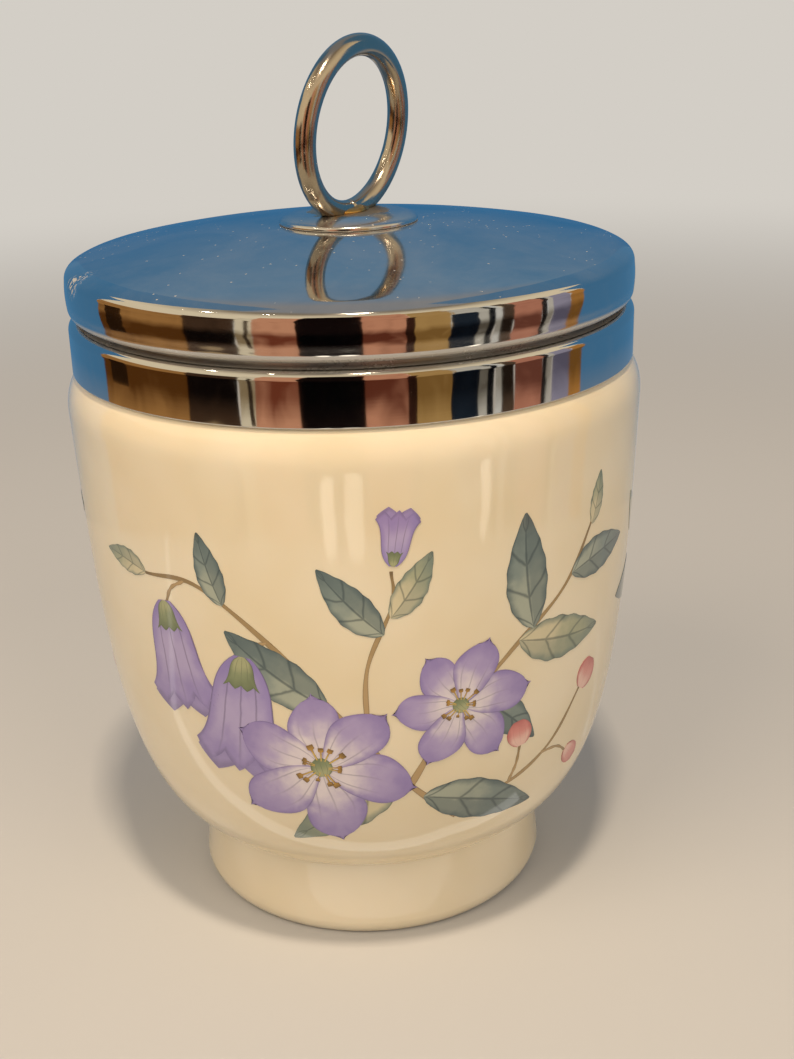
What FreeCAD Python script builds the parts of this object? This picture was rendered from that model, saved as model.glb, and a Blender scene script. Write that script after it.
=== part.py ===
"""Porcelain egg coddler: a footed cup, a screw collar and a screw lid with a wire lifting ring.

Millimetres, +Z up. The origin is the centre of the foot's resting plane, and the cup's axis is Z.
The lifting ring stands in the X-Z plane and leans a little towards -Y. The lid is screwed home.
Every round piece is a half-section drawn in the r-z plane and spun about Z.
"""

import FreeCAD, Part
import math
import os

# ---- Cup: foot and bowl, outside ----
FOOT_RADIUS = 22.7          # foot ring at its widest, just above the table
FOOT_WAIST_DEPTH = 0.3      # how far the foot ring draws in, half way up
FOOT_TOP_SPREAD = 0.1       # how far it spreads again at the crease under the bowl
FOOT_HEIGHT = 10.6          # resting plane to that crease
FOOT_EDGE_HEIGHT = 2.0      # rounded lower edge of the foot
FOOT_EDGE_WIDTH = 1.1
FOOT_SEAT_WIDTH = 2.3       # flat ring that touches the table
CREASE_ROUND = 0.5          # glaze that fills the crease
BOWL_RADIUS = 34.95         # bowl at its widest, under the collar
BOWL_HEIGHT = 65.2          # height of the widest place
BOWL_START_ANGLE = 26.5     # degrees above level at which the bowl leaves the crease
BOWL_START_REACH = 10.5     # how far it keeps to that angle
BOWL_FLARE = 2.3            # degrees by which the upper wall still opens
BOWL_FLARE_REACH = 31.6     # how far down the upper wall keeps to that flare
SHOULDER_RADIUS = 6.6       # round shoulder between the bowl and the collar

# ---- Cup: inside and underside ----
WALL = 3.2                  # porcelain where the inside is widest
INSIDE_SHOULDER_DROP = 3.2  # that place below the bowl's widest place
INSIDE_FLARE = 6.0          # degrees by which the inside wall opens
INSIDE_ROUND = 5.0          # where the inside draws in to the mouth, below and above
FLOOR_ROUND = 13.5          # corner between the inside wall and the floor
FLOOR_RISE = 0.4            # inside floor above the crease
LIP_WIDTH = 2.95            # flat top of the porcelain lip
MOUTH_DEPTH = 7.0           # bore below the lip before it opens to the inside wall
BASE_THICKNESS = 5.6        # inside floor to the hollow under the base
RECESS_TAPER = 1.6          # how much narrower that hollow is at its top

# ---- Collar: spun sheet metal round the mouth ----
SHEET = 0.5                 # metal thickness of collar and lid
COLLAR_SET_BACK = 0.95      # outside of the skirt, in from the bowl's widest place
COLLAR_BAND = 6.1           # height of the skirt
COLLAR_EDGE_ROUND = 1.1     # rounded top edge of the skirt
NECK_HEIGHT = 6.0           # threaded neck above the skirt
NECK_EDGE_BEVEL = 0.4       # broken top edge of the neck
LIP_COVER = 1.6             # how far the neck's top turns in over the porcelain lip

# ---- Screw thread ----
THREAD_PITCH = 2.4
THREAD_DEPTH = 0.75
THREAD_BASE_WIDTH = 1.12    # of a ridge where it leaves its wall
THREAD_CREST_WIDTH = 0.44
THREAD_SINK = 0.15          # how deep the base of a ridge lies in its wall
THREAD_FADE = 40.0          # degrees over which a ridge rises from its wall at each end
THREAD_END_MARGIN = 0.3     # plain wall beyond each end of a thread
THREAD_STATIONS = 15        # sections drawn per turn

# ---- Lid ----
LID_SET_BACK = 0.1          # outside of its skirt, in from the collar's
LID_DOME_RISE = 3.4         # middle of the dome above its edge
LID_EDGE_ROUND = 1.3        # rounded edge between dome and skirt
LID_BARREL = 0.1            # how far the middle of the skirt bulges
GROOVE_GAP = 1.1            # open groove between lid and collar
HEM_ROUND = 1.1             # rolled lower edge
THREAD_RING_WALL = 0.75

# ---- Boss, stud, washer, ring and braze ----
BOSS_RADIUS = 8.3           # base of the conical boss
BOSS_SLOPE_WIDTH = 2.2      # of its conical edge
BOSS_HEIGHT = 1.0           # above the top of the dome
STUD_RADIUS = 1.8           # shank through the lid
STUD_HEAD_RADIUS = 3.2      # head peened inside
STUD_HEAD_HEIGHT = 1.0
WASHER_RADIUS = 5.0
WASHER_THICKNESS = 0.8
RING_RADIUS = 9.5           # centre line of the wire
WIRE_RADIUS = 1.27
RING_SINK = 0.65            # depth of the ring's flat foot below the boss's top
RING_LEAN = 7.0             # degrees that the ring leans towards -Y
BRAZE_LENGTH = 3.4          # half length of the braze along the wire
BRAZE_WIDTH = 2.3           # half width across the wire
BRAZE_HEIGHT = 0.75         # above the boss's top

# ---- Clearances ----
SHEET_FIT = 0.05            # sheet metal closed round its neighbour
NECK_FIT = 0.2              # porcelain inside the collar
LEDGE_FIT = 0.4             # porcelain step under the collar's ledge
SEAT_GAP = 0.15             # collar's top to the inside of the lid
THREAD_RADIAL_GAP = 0.3     # crest to wall
THREAD_FLANK_GAP = 0.2      # between the flanks that pull the lid down
STUD_FIT = 0.05             # stud, washer and lid
BOSS_FIT = 0.03             # boss to the top of the lid
RING_FIT = 0.03             # ring in its saddle, and braze round it


# ---- Radii that follow, from the bowl and the lid inwards ----
FOOT_WAIST_RADIUS = FOOT_RADIUS - FOOT_WAIST_DEPTH
FOOT_TOP_RADIUS = FOOT_RADIUS + FOOT_TOP_SPREAD
COLLAR_RADIUS = BOWL_RADIUS - COLLAR_SET_BACK
LID_RADIUS = COLLAR_RADIUS - LID_SET_BACK
LID_INSIDE_RADIUS = LID_RADIUS - SHEET
THREAD_RING_RADIUS = LID_INSIDE_RADIUS - SHEET_FIT
FEMALE_WALL_RADIUS = THREAD_RING_RADIUS - THREAD_RING_WALL
FEMALE_CREST_RADIUS = FEMALE_WALL_RADIUS - THREAD_DEPTH
NECK_RADIUS = FEMALE_CREST_RADIUS - THREAD_RADIAL_GAP
MALE_CREST_RADIUS = NECK_RADIUS + THREAD_DEPTH
NECK_INSIDE_RADIUS = NECK_RADIUS - SHEET
LIP_RADIUS = NECK_INSIDE_RADIUS - NECK_FIT
MOUTH_RADIUS = LIP_RADIUS - LIP_WIDTH
COLLAR_INSIDE_RADIUS = COLLAR_RADIUS - SHEET
CUP_NECK_RADIUS = COLLAR_INSIDE_RADIUS - NECK_FIT
HEM_INSIDE_RADIUS = LID_RADIUS - HEM_ROUND
DOME_EDGE_RADIUS = LID_RADIUS - LID_EDGE_ROUND
BOSS_TOP_RADIUS = BOSS_RADIUS - BOSS_SLOPE_WIDTH


def arc_radius(half_chord, rise):
    """Radius of an arc that rises by so much over half of its chord."""
    return (half_chord**2 + rise**2) / (2 * rise)


def height_on(centre, radius, across):
    """Height of the upper side of a circle about (r, z) at a distance from the axis."""
    return centre[1] + math.sqrt(radius**2 - (across - centre[0])**2)


# ---- Heights that follow, from the table up ----
FLOOR_HEIGHT = FOOT_HEIGHT + FLOOR_RISE
RECESS_HEIGHT = FLOOR_HEIGHT - BASE_THICKNESS
SHOULDER_CENTRE = (BOWL_RADIUS - SHOULDER_RADIUS * math.cos(math.radians(BOWL_FLARE)),
                   BOWL_HEIGHT + SHOULDER_RADIUS * math.sin(math.radians(BOWL_FLARE)))
COLLAR_BOTTOM = height_on(SHOULDER_CENTRE, SHOULDER_RADIUS, COLLAR_INSIDE_RADIUS - SHEET_FIT)
LEDGE = COLLAR_BOTTOM + COLLAR_BAND
NECK_TOP = LEDGE + NECK_HEIGHT
LIP_TOP = NECK_TOP - SHEET - SHEET_FIT
HEM_BOTTOM = LEDGE + GROOVE_GAP
THREAD_RING_BOTTOM = HEM_BOTTOM + SHEET + SHEET_FIT

# ---- The dome, a part of a sphere whose inside just clears the neck's top ----
DOME_RADIUS = arc_radius(DOME_EDGE_RADIUS, LID_DOME_RISE)
DOME_INSIDE_RADIUS = DOME_RADIUS - SHEET
DOME_CENTRE = (0, NECK_TOP + SEAT_GAP - math.sqrt(DOME_INSIDE_RADIUS**2 - NECK_RADIUS**2))
DOME_TOP = DOME_CENTRE[1] + DOME_RADIUS
LID_EDGE_CENTRE = (DOME_EDGE_RADIUS,
                   height_on(DOME_CENTRE, DOME_RADIUS - LID_EDGE_ROUND, DOME_EDGE_RADIUS))
THREAD_RING_TOP = LID_EDGE_CENTRE[1]
BOSS_TOP = DOME_TOP + BOSS_HEIGHT
RING_FOOT = BOSS_TOP - RING_SINK
WASHER_TOP = height_on(DOME_CENTRE, DOME_INSIDE_RADIUS, WASHER_RADIUS) - STUD_FIT
WASHER_BOTTOM = WASHER_TOP - WASHER_THICKNESS


def half_width(depth_share):
    """Half the width of a thread ridge at a share of its depth, 0 at the wall and 1 at the crest."""
    return (THREAD_BASE_WIDTH + depth_share * (THREAD_CREST_WIDTH - THREAD_BASE_WIDTH)) / 2


# ---- The middle of each thread ridge, from its lower to its upper end ----
THREAD_END = THREAD_END_MARGIN + half_width(0)
MALE_START = LEDGE + THREAD_END
MALE_TURNS = (NECK_TOP - NECK_EDGE_BEVEL - THREAD_END - MALE_START) / THREAD_PITCH
FEMALE_START = THREAD_RING_BOTTOM + THREAD_END
FEMALE_TURNS = (THREAD_RING_TOP - THREAD_END - FEMALE_START) / THREAD_PITCH
# Screwed home, the female ridge hangs below a turn of the male one with its flank gap between.
THREAD_OVERLAP = 1 - THREAD_RADIAL_GAP / THREAD_DEPTH
FEMALE_BELOW_MALE = 2 * half_width(1 - THREAD_OVERLAP / 2) + THREAD_FLANK_GAP
FEMALE_START_ANGLE = 360 * ((FEMALE_START + FEMALE_BELOW_MALE - MALE_START) / THREAD_PITCH % 1)


class Section:
    """A closed half-section in the r-z plane, drawn edge by edge and spun about Z."""

    def __init__(self, r, z):
        self.first = self.here = FreeCAD.Vector(r, 0, z)
        self.edges = []

    def add(self, curve, end):
        self.edges.append(curve.toShape())
        self.here = end
        return self

    def line(self, r, z):
        end = FreeCAD.Vector(r, 0, z)
        return self.add(Part.LineSegment(self.here, end), end)

    def arc(self, through, end):
        """An arc from here through one (r, z) point to another."""
        through, end = (FreeCAD.Vector(r, 0, z) for r, z in (through, end))
        return self.add(Part.Arc(self.here, through, end), end)

    def round(self, centre, radius, to_angle):
        """An arc about a centre from here to an angle in degrees, the shorter way."""
        start = math.atan2(self.here.z - centre[1], self.here.x - centre[0])
        turn = math.remainder(math.radians(to_angle) - start, 2 * math.pi)

        def on_arc(share):
            angle = start + share * turn
            return centre[0] + radius * math.cos(angle), centre[1] + radius * math.sin(angle)

        return self.arc(on_arc(0.5), on_arc(1))

    def curve(self, *poles):
        """A Bezier curve from here over (r, z) poles, the last of which is its end."""
        points = [FreeCAD.Vector(r, 0, z) for r, z in poles]
        bezier = Part.BezierCurve()
        bezier.setPoles([self.here] + points)
        return self.add(bezier, points[-1])

    def corner(self, at, radius, towards):
        """A line to an (r, z) corner that is rounded off towards a third point."""
        at, towards = (FreeCAD.Vector(r, 0, z) for r, z in (at, towards))
        back = (self.here - at).normalize()
        onward = (towards - at).normalize()
        half = back.getAngle(onward) / 2
        trim = radius / math.tan(half)
        nearest = at + (back + onward).normalize() * (radius / math.sin(half) - radius)
        begin = at + back * trim
        end = at + onward * trim
        return self.line(begin.x, begin.z).arc((nearest.x, nearest.z), (end.x, end.z))

    def spun(self):
        """Close the section and turn it into a solid of revolution."""
        if (self.here - self.first).Length > 1e-7:
            self.line(self.first.x, self.first.z)
        face = Part.Face(Part.Wire(self.edges))
        return face.revolve(FreeCAD.Vector(0, 0, 0), FreeCAD.Vector(0, 0, 1), 360)


def reach(start, angle, length):
    """The (r, z) point at a distance from another, at an angle in degrees above level."""
    turn = math.radians(angle)
    return start[0] + length * math.cos(turn), start[1] + length * math.sin(turn)


def thread_ridge(wall_radius, crest_radius, start_height, start_angle, turns):
    """A right-hand helical ridge that rises out of a round wall and fades into it at both ends."""
    depth = crest_radius - wall_radius
    sunk = THREAD_SINK / THREAD_DEPTH
    stations = math.ceil(turns * THREAD_STATIONS)
    fade = THREAD_FADE / 360 / turns
    sections = []
    for i in range(stations + 1):
        share = i / stations
        rise = min(1, share / fade, (1 - share) / fade)
        crest = (1 + sunk / 2) * math.sin(rise * math.pi / 2) - sunk / 2
        angle = math.radians(start_angle + 360 * turns * share)
        height = start_height + THREAD_PITCH * turns * share
        corners = []
        for at, side in ((-sunk, -1), (crest, -1), (crest, 1), (-sunk, 1)):
            radius = wall_radius + at * depth
            corners.append(FreeCAD.Vector(radius * math.cos(angle), radius * math.sin(angle),
                                          height + side * half_width(at)))
        sections.append(Part.makePolygon(corners + corners[:1]))
    return Part.makeLoft(sections, True, False)


def edges_at(shape, radius, height):
    """The round edges of a shape at a radius and height."""
    def matches(box):
        return all(abs(gap) < 1e-4 for gap in (box.XMax - radius, box.ZMin - height, box.ZMax - height))
    return [edge for edge in shape.Edges if matches(edge.BoundBox)]


def make_cup():
    """Glazed porcelain: recessed foot, flared bowl, round shoulder, stepped neck and drawn-in mouth."""
    seat_outside = FOOT_RADIUS - FOOT_EDGE_WIDTH
    seat_inside = seat_outside - FOOT_SEAT_WIDTH
    edge_round = arc_radius(FOOT_EDGE_HEIGHT, FOOT_EDGE_WIDTH)
    crease = (FOOT_TOP_RADIUS, FOOT_HEIGHT)
    widest = (BOWL_RADIUS, BOWL_HEIGHT)
    shoulder_end = math.degrees(math.acos((CUP_NECK_RADIUS - SHOULDER_CENTRE[0]) / SHOULDER_RADIUS))
    step = LEDGE - SHEET - LEDGE_FIT
    mouth = (MOUTH_RADIUS, LIP_TOP)
    bore_bottom = (MOUTH_RADIUS, LIP_TOP - MOUTH_DEPTH)
    inside = (BOWL_RADIUS - WALL, BOWL_HEIGHT - INSIDE_SHOULDER_DROP)
    taper = (inside[1] - FLOOR_HEIGHT) * math.tan(math.radians(INSIDE_FLARE))
    floor_edge = (inside[0] - taper, FLOOR_HEIGHT)
    floor_middle = (0, FLOOR_HEIGHT)
    cup = (
        Section(0, RECESS_HEIGHT)
        .line(seat_inside - RECESS_TAPER, RECESS_HEIGHT)
        .line(seat_inside, 0)
        .line(seat_outside, 0)
        .round((FOOT_RADIUS - edge_round, FOOT_EDGE_HEIGHT), edge_round, 0)
        .arc((FOOT_WAIST_RADIUS, (FOOT_EDGE_HEIGHT + FOOT_HEIGHT) / 2), crease)
        .curve(reach(crease, BOWL_START_ANGLE, BOWL_START_REACH),
               reach(widest, -90 - BOWL_FLARE, BOWL_FLARE_REACH),
               widest)
        .round(SHOULDER_CENTRE, SHOULDER_RADIUS, shoulder_end)
        .line(CUP_NECK_RADIUS, step)
        .line(LIP_RADIUS, step)
        .line(LIP_RADIUS, LIP_TOP)
        .line(*mouth)
        .corner(bore_bottom, INSIDE_ROUND, inside)
        .corner(inside, INSIDE_ROUND, floor_edge)
        .corner(floor_edge, FLOOR_ROUND, floor_middle)
        .line(*floor_middle)
        .spun()
    )
    return cup.makeFillet(CREASE_ROUND, edges_at(cup, *crease))


def make_collar():
    """Spun sheet metal: skirt over the cup's neck, threaded neck, and a top turned in over the lip."""
    collar = (
        Section(COLLAR_INSIDE_RADIUS, COLLAR_BOTTOM)
        .line(COLLAR_RADIUS, COLLAR_BOTTOM)
        .line(COLLAR_RADIUS, LEDGE - COLLAR_EDGE_ROUND)
        .round((COLLAR_RADIUS - COLLAR_EDGE_ROUND, LEDGE - COLLAR_EDGE_ROUND), COLLAR_EDGE_ROUND, 90)
        .line(NECK_RADIUS, LEDGE)
        .line(NECK_RADIUS, NECK_TOP - NECK_EDGE_BEVEL)
        .line(NECK_RADIUS - NECK_EDGE_BEVEL, NECK_TOP)
        .line(NECK_INSIDE_RADIUS - LIP_COVER, NECK_TOP)
        .line(NECK_INSIDE_RADIUS - LIP_COVER, NECK_TOP - SHEET)
        .line(NECK_INSIDE_RADIUS, NECK_TOP - SHEET)
        .line(NECK_INSIDE_RADIUS, LEDGE - SHEET)
        .line(COLLAR_INSIDE_RADIUS, LEDGE - SHEET)
        .spun()
    )
    return collar.fuse(thread_ridge(NECK_RADIUS, MALE_CREST_RADIUS, MALE_START, 0, MALE_TURNS))


def make_lid_shell():
    """Drawn cap: domed top with a hole for the stud, rounded edge, smooth skirt and rolled hem."""
    hole = STUD_RADIUS + STUD_FIT
    hem_top = HEM_BOTTOM + HEM_ROUND
    edge_angle = math.degrees(math.atan2(LID_EDGE_CENTRE[1] - DOME_CENTRE[1], DOME_EDGE_RADIUS))
    hole_angle = math.degrees(math.acos(hole / DOME_INSIDE_RADIUS))
    inside_edge = reach(DOME_CENTRE, edge_angle, DOME_INSIDE_RADIUS)
    return (
        Section(hole, height_on(DOME_CENTRE, DOME_RADIUS, hole))
        .round(DOME_CENTRE, DOME_RADIUS, edge_angle)
        .round(LID_EDGE_CENTRE, LID_EDGE_ROUND, 0)
        .arc((LID_RADIUS + LID_BARREL, (hem_top + LID_EDGE_CENTRE[1]) / 2), (LID_RADIUS, hem_top))
        .round((HEM_INSIDE_RADIUS, hem_top), HEM_ROUND, -90)
        .line(HEM_INSIDE_RADIUS, HEM_BOTTOM + SHEET)
        .line(LID_INSIDE_RADIUS, hem_top)
        .line(LID_INSIDE_RADIUS, LID_EDGE_CENTRE[1])
        .line(*inside_edge)
        .round(DOME_CENTRE, DOME_INSIDE_RADIUS, hole_angle)
        .spun()
    )


def make_lid_thread_ring():
    """Ring pressed into the skirt behind the hem, with the female thread inside."""
    bevel = HEM_ROUND - SHEET
    ring = (
        Section(FEMALE_WALL_RADIUS, THREAD_RING_BOTTOM)
        .line(THREAD_RING_RADIUS - bevel, THREAD_RING_BOTTOM)
        .line(THREAD_RING_RADIUS, THREAD_RING_BOTTOM + bevel)
        .line(THREAD_RING_RADIUS, THREAD_RING_TOP)
        .line(FEMALE_WALL_RADIUS, THREAD_RING_TOP)
        .spun()
    )
    return ring.fuse(thread_ridge(FEMALE_WALL_RADIUS, FEMALE_CREST_RADIUS,
                                  FEMALE_START, FEMALE_START_ANGLE, FEMALE_TURNS))


def make_ring_wire(extra=0):
    """The ring's whole wire, thicker by a clearance, leaning about its foot on the boss's top."""
    centre = FreeCAD.Vector(0, 0, BOSS_TOP + RING_RADIUS)
    wire = Part.makeTorus(RING_RADIUS, WIRE_RADIUS + extra, centre, FreeCAD.Vector(0, 1, 0))
    wire.rotate(FreeCAD.Vector(0, 0, BOSS_TOP), FreeCAD.Vector(1, 0, 0), RING_LEAN)
    return wire


def trimmed(shape, height):
    """What is left of a shape near the boss above a height."""
    depth = 2 * WIRE_RADIUS
    return shape.cut(Part.makeCylinder(BOSS_RADIUS, depth, FreeCAD.Vector(0, 0, height - depth)))


def make_lifting_ring():
    """Wire ring whose foot is filed flat where it stands in the boss."""
    return trimmed(make_ring_wire(), RING_FOOT)


def make_ring_boss():
    """Conical disc that fits the dome, with a saddle for the ring and a shank peened inside."""
    seat = DOME_RADIUS + BOSS_FIT
    seat_angle = math.degrees(math.acos(STUD_RADIUS / seat))
    head_top = WASHER_BOTTOM - STUD_FIT
    head_round = arc_radius(STUD_HEAD_RADIUS, STUD_HEAD_HEIGHT)
    boss = (
        Section(0, BOSS_TOP)
        .line(BOSS_TOP_RADIUS, BOSS_TOP)
        .line(BOSS_RADIUS, height_on(DOME_CENTRE, seat, BOSS_RADIUS))
        .round(DOME_CENTRE, seat, seat_angle)
        .line(STUD_RADIUS, head_top)
        .line(STUD_HEAD_RADIUS, head_top)
        .round((0, head_top - STUD_HEAD_HEIGHT + head_round), head_round, -90)
        .spun()
    )
    return boss.cut(trimmed(make_ring_wire(RING_FIT), RING_FOOT - RING_FIT))


def make_stud_washer():
    """Plain washer between the lid's inside and the peened head."""
    hole = STUD_RADIUS + STUD_FIT
    return (
        Section(hole, WASHER_BOTTOM)
        .line(WASHER_RADIUS, WASHER_BOTTOM)
        .line(WASHER_RADIUS, WASHER_TOP)
        .line(hole, WASHER_TOP)
        .spun()
    )


def make_ring_braze():
    """Two fillets of braze on the boss, one on each side of the ring's foot."""
    stretch = FreeCAD.Matrix()
    stretch.scale(BRAZE_LENGTH, BRAZE_WIDTH, BRAZE_HEIGHT)
    puddle = Part.makeSphere(1).transformGeometry(stretch)
    puddle.translate(FreeCAD.Vector(0, 0, BOSS_TOP + RING_FIT))
    return trimmed(puddle, BOSS_TOP + RING_FIT).cut(make_ring_wire(RING_FIT))


PIECES = {
    "cup": make_cup,
    "collar": make_collar,
    "lid_shell": make_lid_shell,
    "lid_thread_ring": make_lid_thread_ring,
    "ring_boss": make_ring_boss,
    "stud_washer": make_stud_washer,
    "lifting_ring": make_lifting_ring,
    "ring_braze": make_ring_braze,
}

os.makedirs("parts", exist_ok=True)
for name, make in PIECES.items():
    make().exportStep(f"parts/{name}.step")
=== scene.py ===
"""The finished look of a porcelain egg coddler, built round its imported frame.

The cup is glazed porcelain with a printed flower decoration. Its screw collar, screw lid and lifting
ring are chromium plated, and the thread ring inside the lid is plain turned steel. Sizes are given in
millimetres and become metres as meshes and materials are made. Z is up and is the axis of cup, collar
and lid, as in the frame.
"""

import logging
import math
from dataclasses import dataclass
from enum import Enum
from functools import partial
from typing import Any, Callable, NamedTuple, Sequence

import bmesh
import bpy
import numpy as np
from bpy.types import ID, Material, Mesh, NodeSocket, NodeTree, Object
from mathutils import Matrix, Vector


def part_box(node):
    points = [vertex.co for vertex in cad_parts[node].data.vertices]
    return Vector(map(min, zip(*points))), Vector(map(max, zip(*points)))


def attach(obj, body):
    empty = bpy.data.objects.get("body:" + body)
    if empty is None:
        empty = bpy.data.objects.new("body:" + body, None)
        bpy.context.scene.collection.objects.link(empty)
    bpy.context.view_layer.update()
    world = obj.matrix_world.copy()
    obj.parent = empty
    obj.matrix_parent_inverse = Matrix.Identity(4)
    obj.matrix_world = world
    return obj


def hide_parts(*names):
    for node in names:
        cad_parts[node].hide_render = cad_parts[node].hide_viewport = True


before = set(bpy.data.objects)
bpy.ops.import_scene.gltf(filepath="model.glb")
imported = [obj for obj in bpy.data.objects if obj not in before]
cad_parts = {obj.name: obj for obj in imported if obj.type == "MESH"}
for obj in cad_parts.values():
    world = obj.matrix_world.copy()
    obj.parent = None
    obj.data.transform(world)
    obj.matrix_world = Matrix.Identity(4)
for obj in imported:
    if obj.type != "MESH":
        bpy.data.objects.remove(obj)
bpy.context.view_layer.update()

MM = 0.001
LOG = logging.getLogger("egg_coddler")

Point = tuple[float, float]
Triple = tuple[float, float, float]
Table = tuple[tuple[float, ...], ...]
Rule = Callable[[float, float], Sequence[float]]


# ---- Nodes ----


def linear(colour: str) -> tuple[float, ...]:
    """Turn an sRGB hex colour into linear red, green and blue with an alpha of 1."""
    channels = [int(colour[i:i + 2], 16) / 255 for i in (1, 3, 5)]
    return (*(c / 12.92 if c <= 0.04045 else ((c + 0.055) / 1.055)**2.4 for c in channels), 1.0)


def per_mm(size: float) -> float:
    """Scale of a texture whose grain is so many millimetres."""
    return 1 / (size * MM)


class Field:
    """An output of a node that can be used in plain arithmetic."""

    def __init__(self, socket: NodeSocket) -> None:
        """Wrap an output socket."""
        self.socket = socket

    def out(self, name: str | int) -> "Field":
        """Another output of the same node."""
        return Field(self.socket.node.outputs[name])

    def by(self, operation: str, *others: "Field | float", clamp: bool = False) -> "Field":
        """Combine this field with others by a math operation, kept within 0 and 1 if clamped."""
        return add_node(self.socket.id_data, "Math", dict(enumerate((self, *others))),
                        operation=operation, use_clamp=clamp)

    def __add__(self, other: "Field | float") -> "Field":
        """Sum."""
        return self.by("ADD", other)

    def __sub__(self, other: "Field | float") -> "Field":
        """Difference."""
        return self.by("SUBTRACT", other)

    def __mul__(self, other: "Field | float") -> "Field":
        """Product."""
        return self.by("MULTIPLY", other)

    def __truediv__(self, other: "Field | float") -> "Field":
        """Quotient."""
        return self.by("DIVIDE", other)


def add_node(tree: NodeTree, kind: str, inputs: dict[Any, Any] | None = None,
             output: str | int = 0, **settings: Any) -> Field | None:
    """Add a node to a tree with its settings, values and links.

    Args:
        tree: The shader or geometry tree.
        kind: The node's type. A plain name is a shader node's.
        inputs: For an input's name or number, a value, a hex colour or the field that feeds it.
        output: The output to return.
        **settings: Properties of the node itself.

    Returns:
        One output of the new node, or None if it has none.
    """
    node = tree.nodes.new(kind if kind.startswith(("Geometry", "Node")) else f"ShaderNode{kind}")
    for name, value in settings.items():
        setattr(node, name, value)
    for key, value in (inputs or {}).items():
        if isinstance(value, Field):
            tree.links.new(value.socket, node.inputs[key])
        else:
            is_colour = isinstance(value, str) and value.startswith("#")
            node.inputs[key].default_value = linear(value) if is_colour else value
    return Field(node.outputs[output]) if node.outputs else None


def new_material(name: str, surface: Callable[[NodeTree], Field]) -> Material:
    """Make a material.

    Args:
        name: Its name.
        surface: Draws its nodes in a tree and returns the shader's output.

    Returns:
        The material.
    """
    material = bpy.data.materials.new(name)
    material.use_nodes = True
    material.node_tree.nodes.clear()
    add_node(material.node_tree, "OutputMaterial", {"Surface": surface(material.node_tree)})
    return material


# ---- Meshes ----


def link_object(name: str, data: ID) -> Object:
    """Make an object at the origin for a mesh, curve or lamp and put it in the scene.

    Args:
        name: Its name.
        data: The mesh, curve or lamp.

    Returns:
        The new object.
    """
    thing = bpy.data.objects.new(name, data)
    bpy.context.scene.collection.objects.link(thing)
    return thing


def new_mesh(name: str, points: Sequence[Sequence[float]],
             faces: Sequence[Sequence[int]]) -> Mesh:
    """Make a mesh from points in millimetres and faces.

    Args:
        name: Its name.
        points: Its points in millimetres.
        faces: The points of each face, by number.

    Returns:
        The mesh.
    """
    mesh = bpy.data.meshes.new(name)
    mesh.from_pydata([[c * MM for c in point] for point in points], [], faces)
    return mesh


def smooth_by_angle(mesh: Mesh, degrees: float = 32.0) -> None:
    """Shade a mesh smooth, apart from edges that bend by more than so many degrees.

    Args:
        mesh: The mesh.
        degrees: The bend past which an edge stays sharp.
    """
    mesh.polygons.foreach_set("use_smooth", np.ones(len(mesh.polygons), bool))
    mesh.set_sharp_from_angle(angle=math.radians(degrees))
    mesh.update()


def face_outwards(mesh: Mesh) -> None:
    """Turn the faces of a closed mesh outwards and shade it smooth but for its real corners.

    Args:
        mesh: The mesh.
    """
    mesh.calc_loop_triangles()
    corners = np.array([[mesh.vertices[i].co for i in t.vertices] for t in mesh.loop_triangles])
    if np.einsum("ij,ij->", corners[:, 0], np.cross(corners[:, 1], corners[:, 2])) < 0:
        mesh.flip_normals()
    smooth_by_angle(mesh)


def quads(rows: int, columns: int, rows_meet: bool = False,
          columns_meet: bool = False) -> list[list[int]]:
    """Faces of a grid of points.

    Args:
        rows: Faces along the grid.
        columns: Faces across it.
        rows_meet: Whether its last row of points is its first one again.
        columns_meet: Whether its last column of points is its first one again.

    Returns:
        The faces as indices of points, which are numbered row by row.
    """
    height, width = rows + (not rows_meet), columns + (not columns_meet)
    return [[i * width + j, i * width + (j + 1) % width,
             (i + 1) % height * width + (j + 1) % width, (i + 1) % height * width + j]
            for i in range(rows) for j in range(columns)]


def grid(rows: int, columns: int) -> list[Point]:
    """Shares along, 0 to 1, and across, -1 to 1, of a sheet's points."""
    return [(i / rows, 2 * j / columns - 1) for i in range(rows + 1) for j in range(columns + 1)]


def sheet_mesh(name: str, rows: int, columns: int, place: Rule) -> Mesh:
    """Make a sheet of quads.

    Args:
        name: Name of the mesh.
        rows: Steps along it.
        columns: Steps across it.
        place: Gives a point in millimetres for a share along, 0 to 1, and across, -1 to 1.

    Returns:
        The mesh.
    """
    return new_mesh(name, [place(*shares) for shares in grid(rows, columns)], quads(rows, columns))


class NodeSize(NamedTuple):
    """How large a round node of the frame is, in millimetres."""

    radius: float
    low: float
    high: float


def size_of(node: str) -> NodeSize:
    """Measure a round node of the frame: its radius, bottom and top."""
    low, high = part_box(node)
    return NodeSize(max(high.x, high.y, -low.x, -low.y) / MM, low.z / MM, high.z / MM)


def arc_radius(half_chord: float, rise: float) -> float:
    """Radius of an arc that rises by so much over half of its chord."""
    return (half_chord**2 + rise**2) / (2 * rise)


def polar(centre: Point, radius: float, degrees: float) -> Point:
    """A point at a distance and an angle above level from another, in the r-z plane."""
    turn = math.radians(degrees)
    return centre[0] + radius * math.cos(turn), centre[1] + radius * math.sin(turn)


def height_on(centre: Point, radius: float, across: float) -> float:
    """Height of the upper side of a circle at a distance from the axis."""
    return centre[1] + math.sqrt(radius**2 - (across - centre[0])**2)


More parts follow.
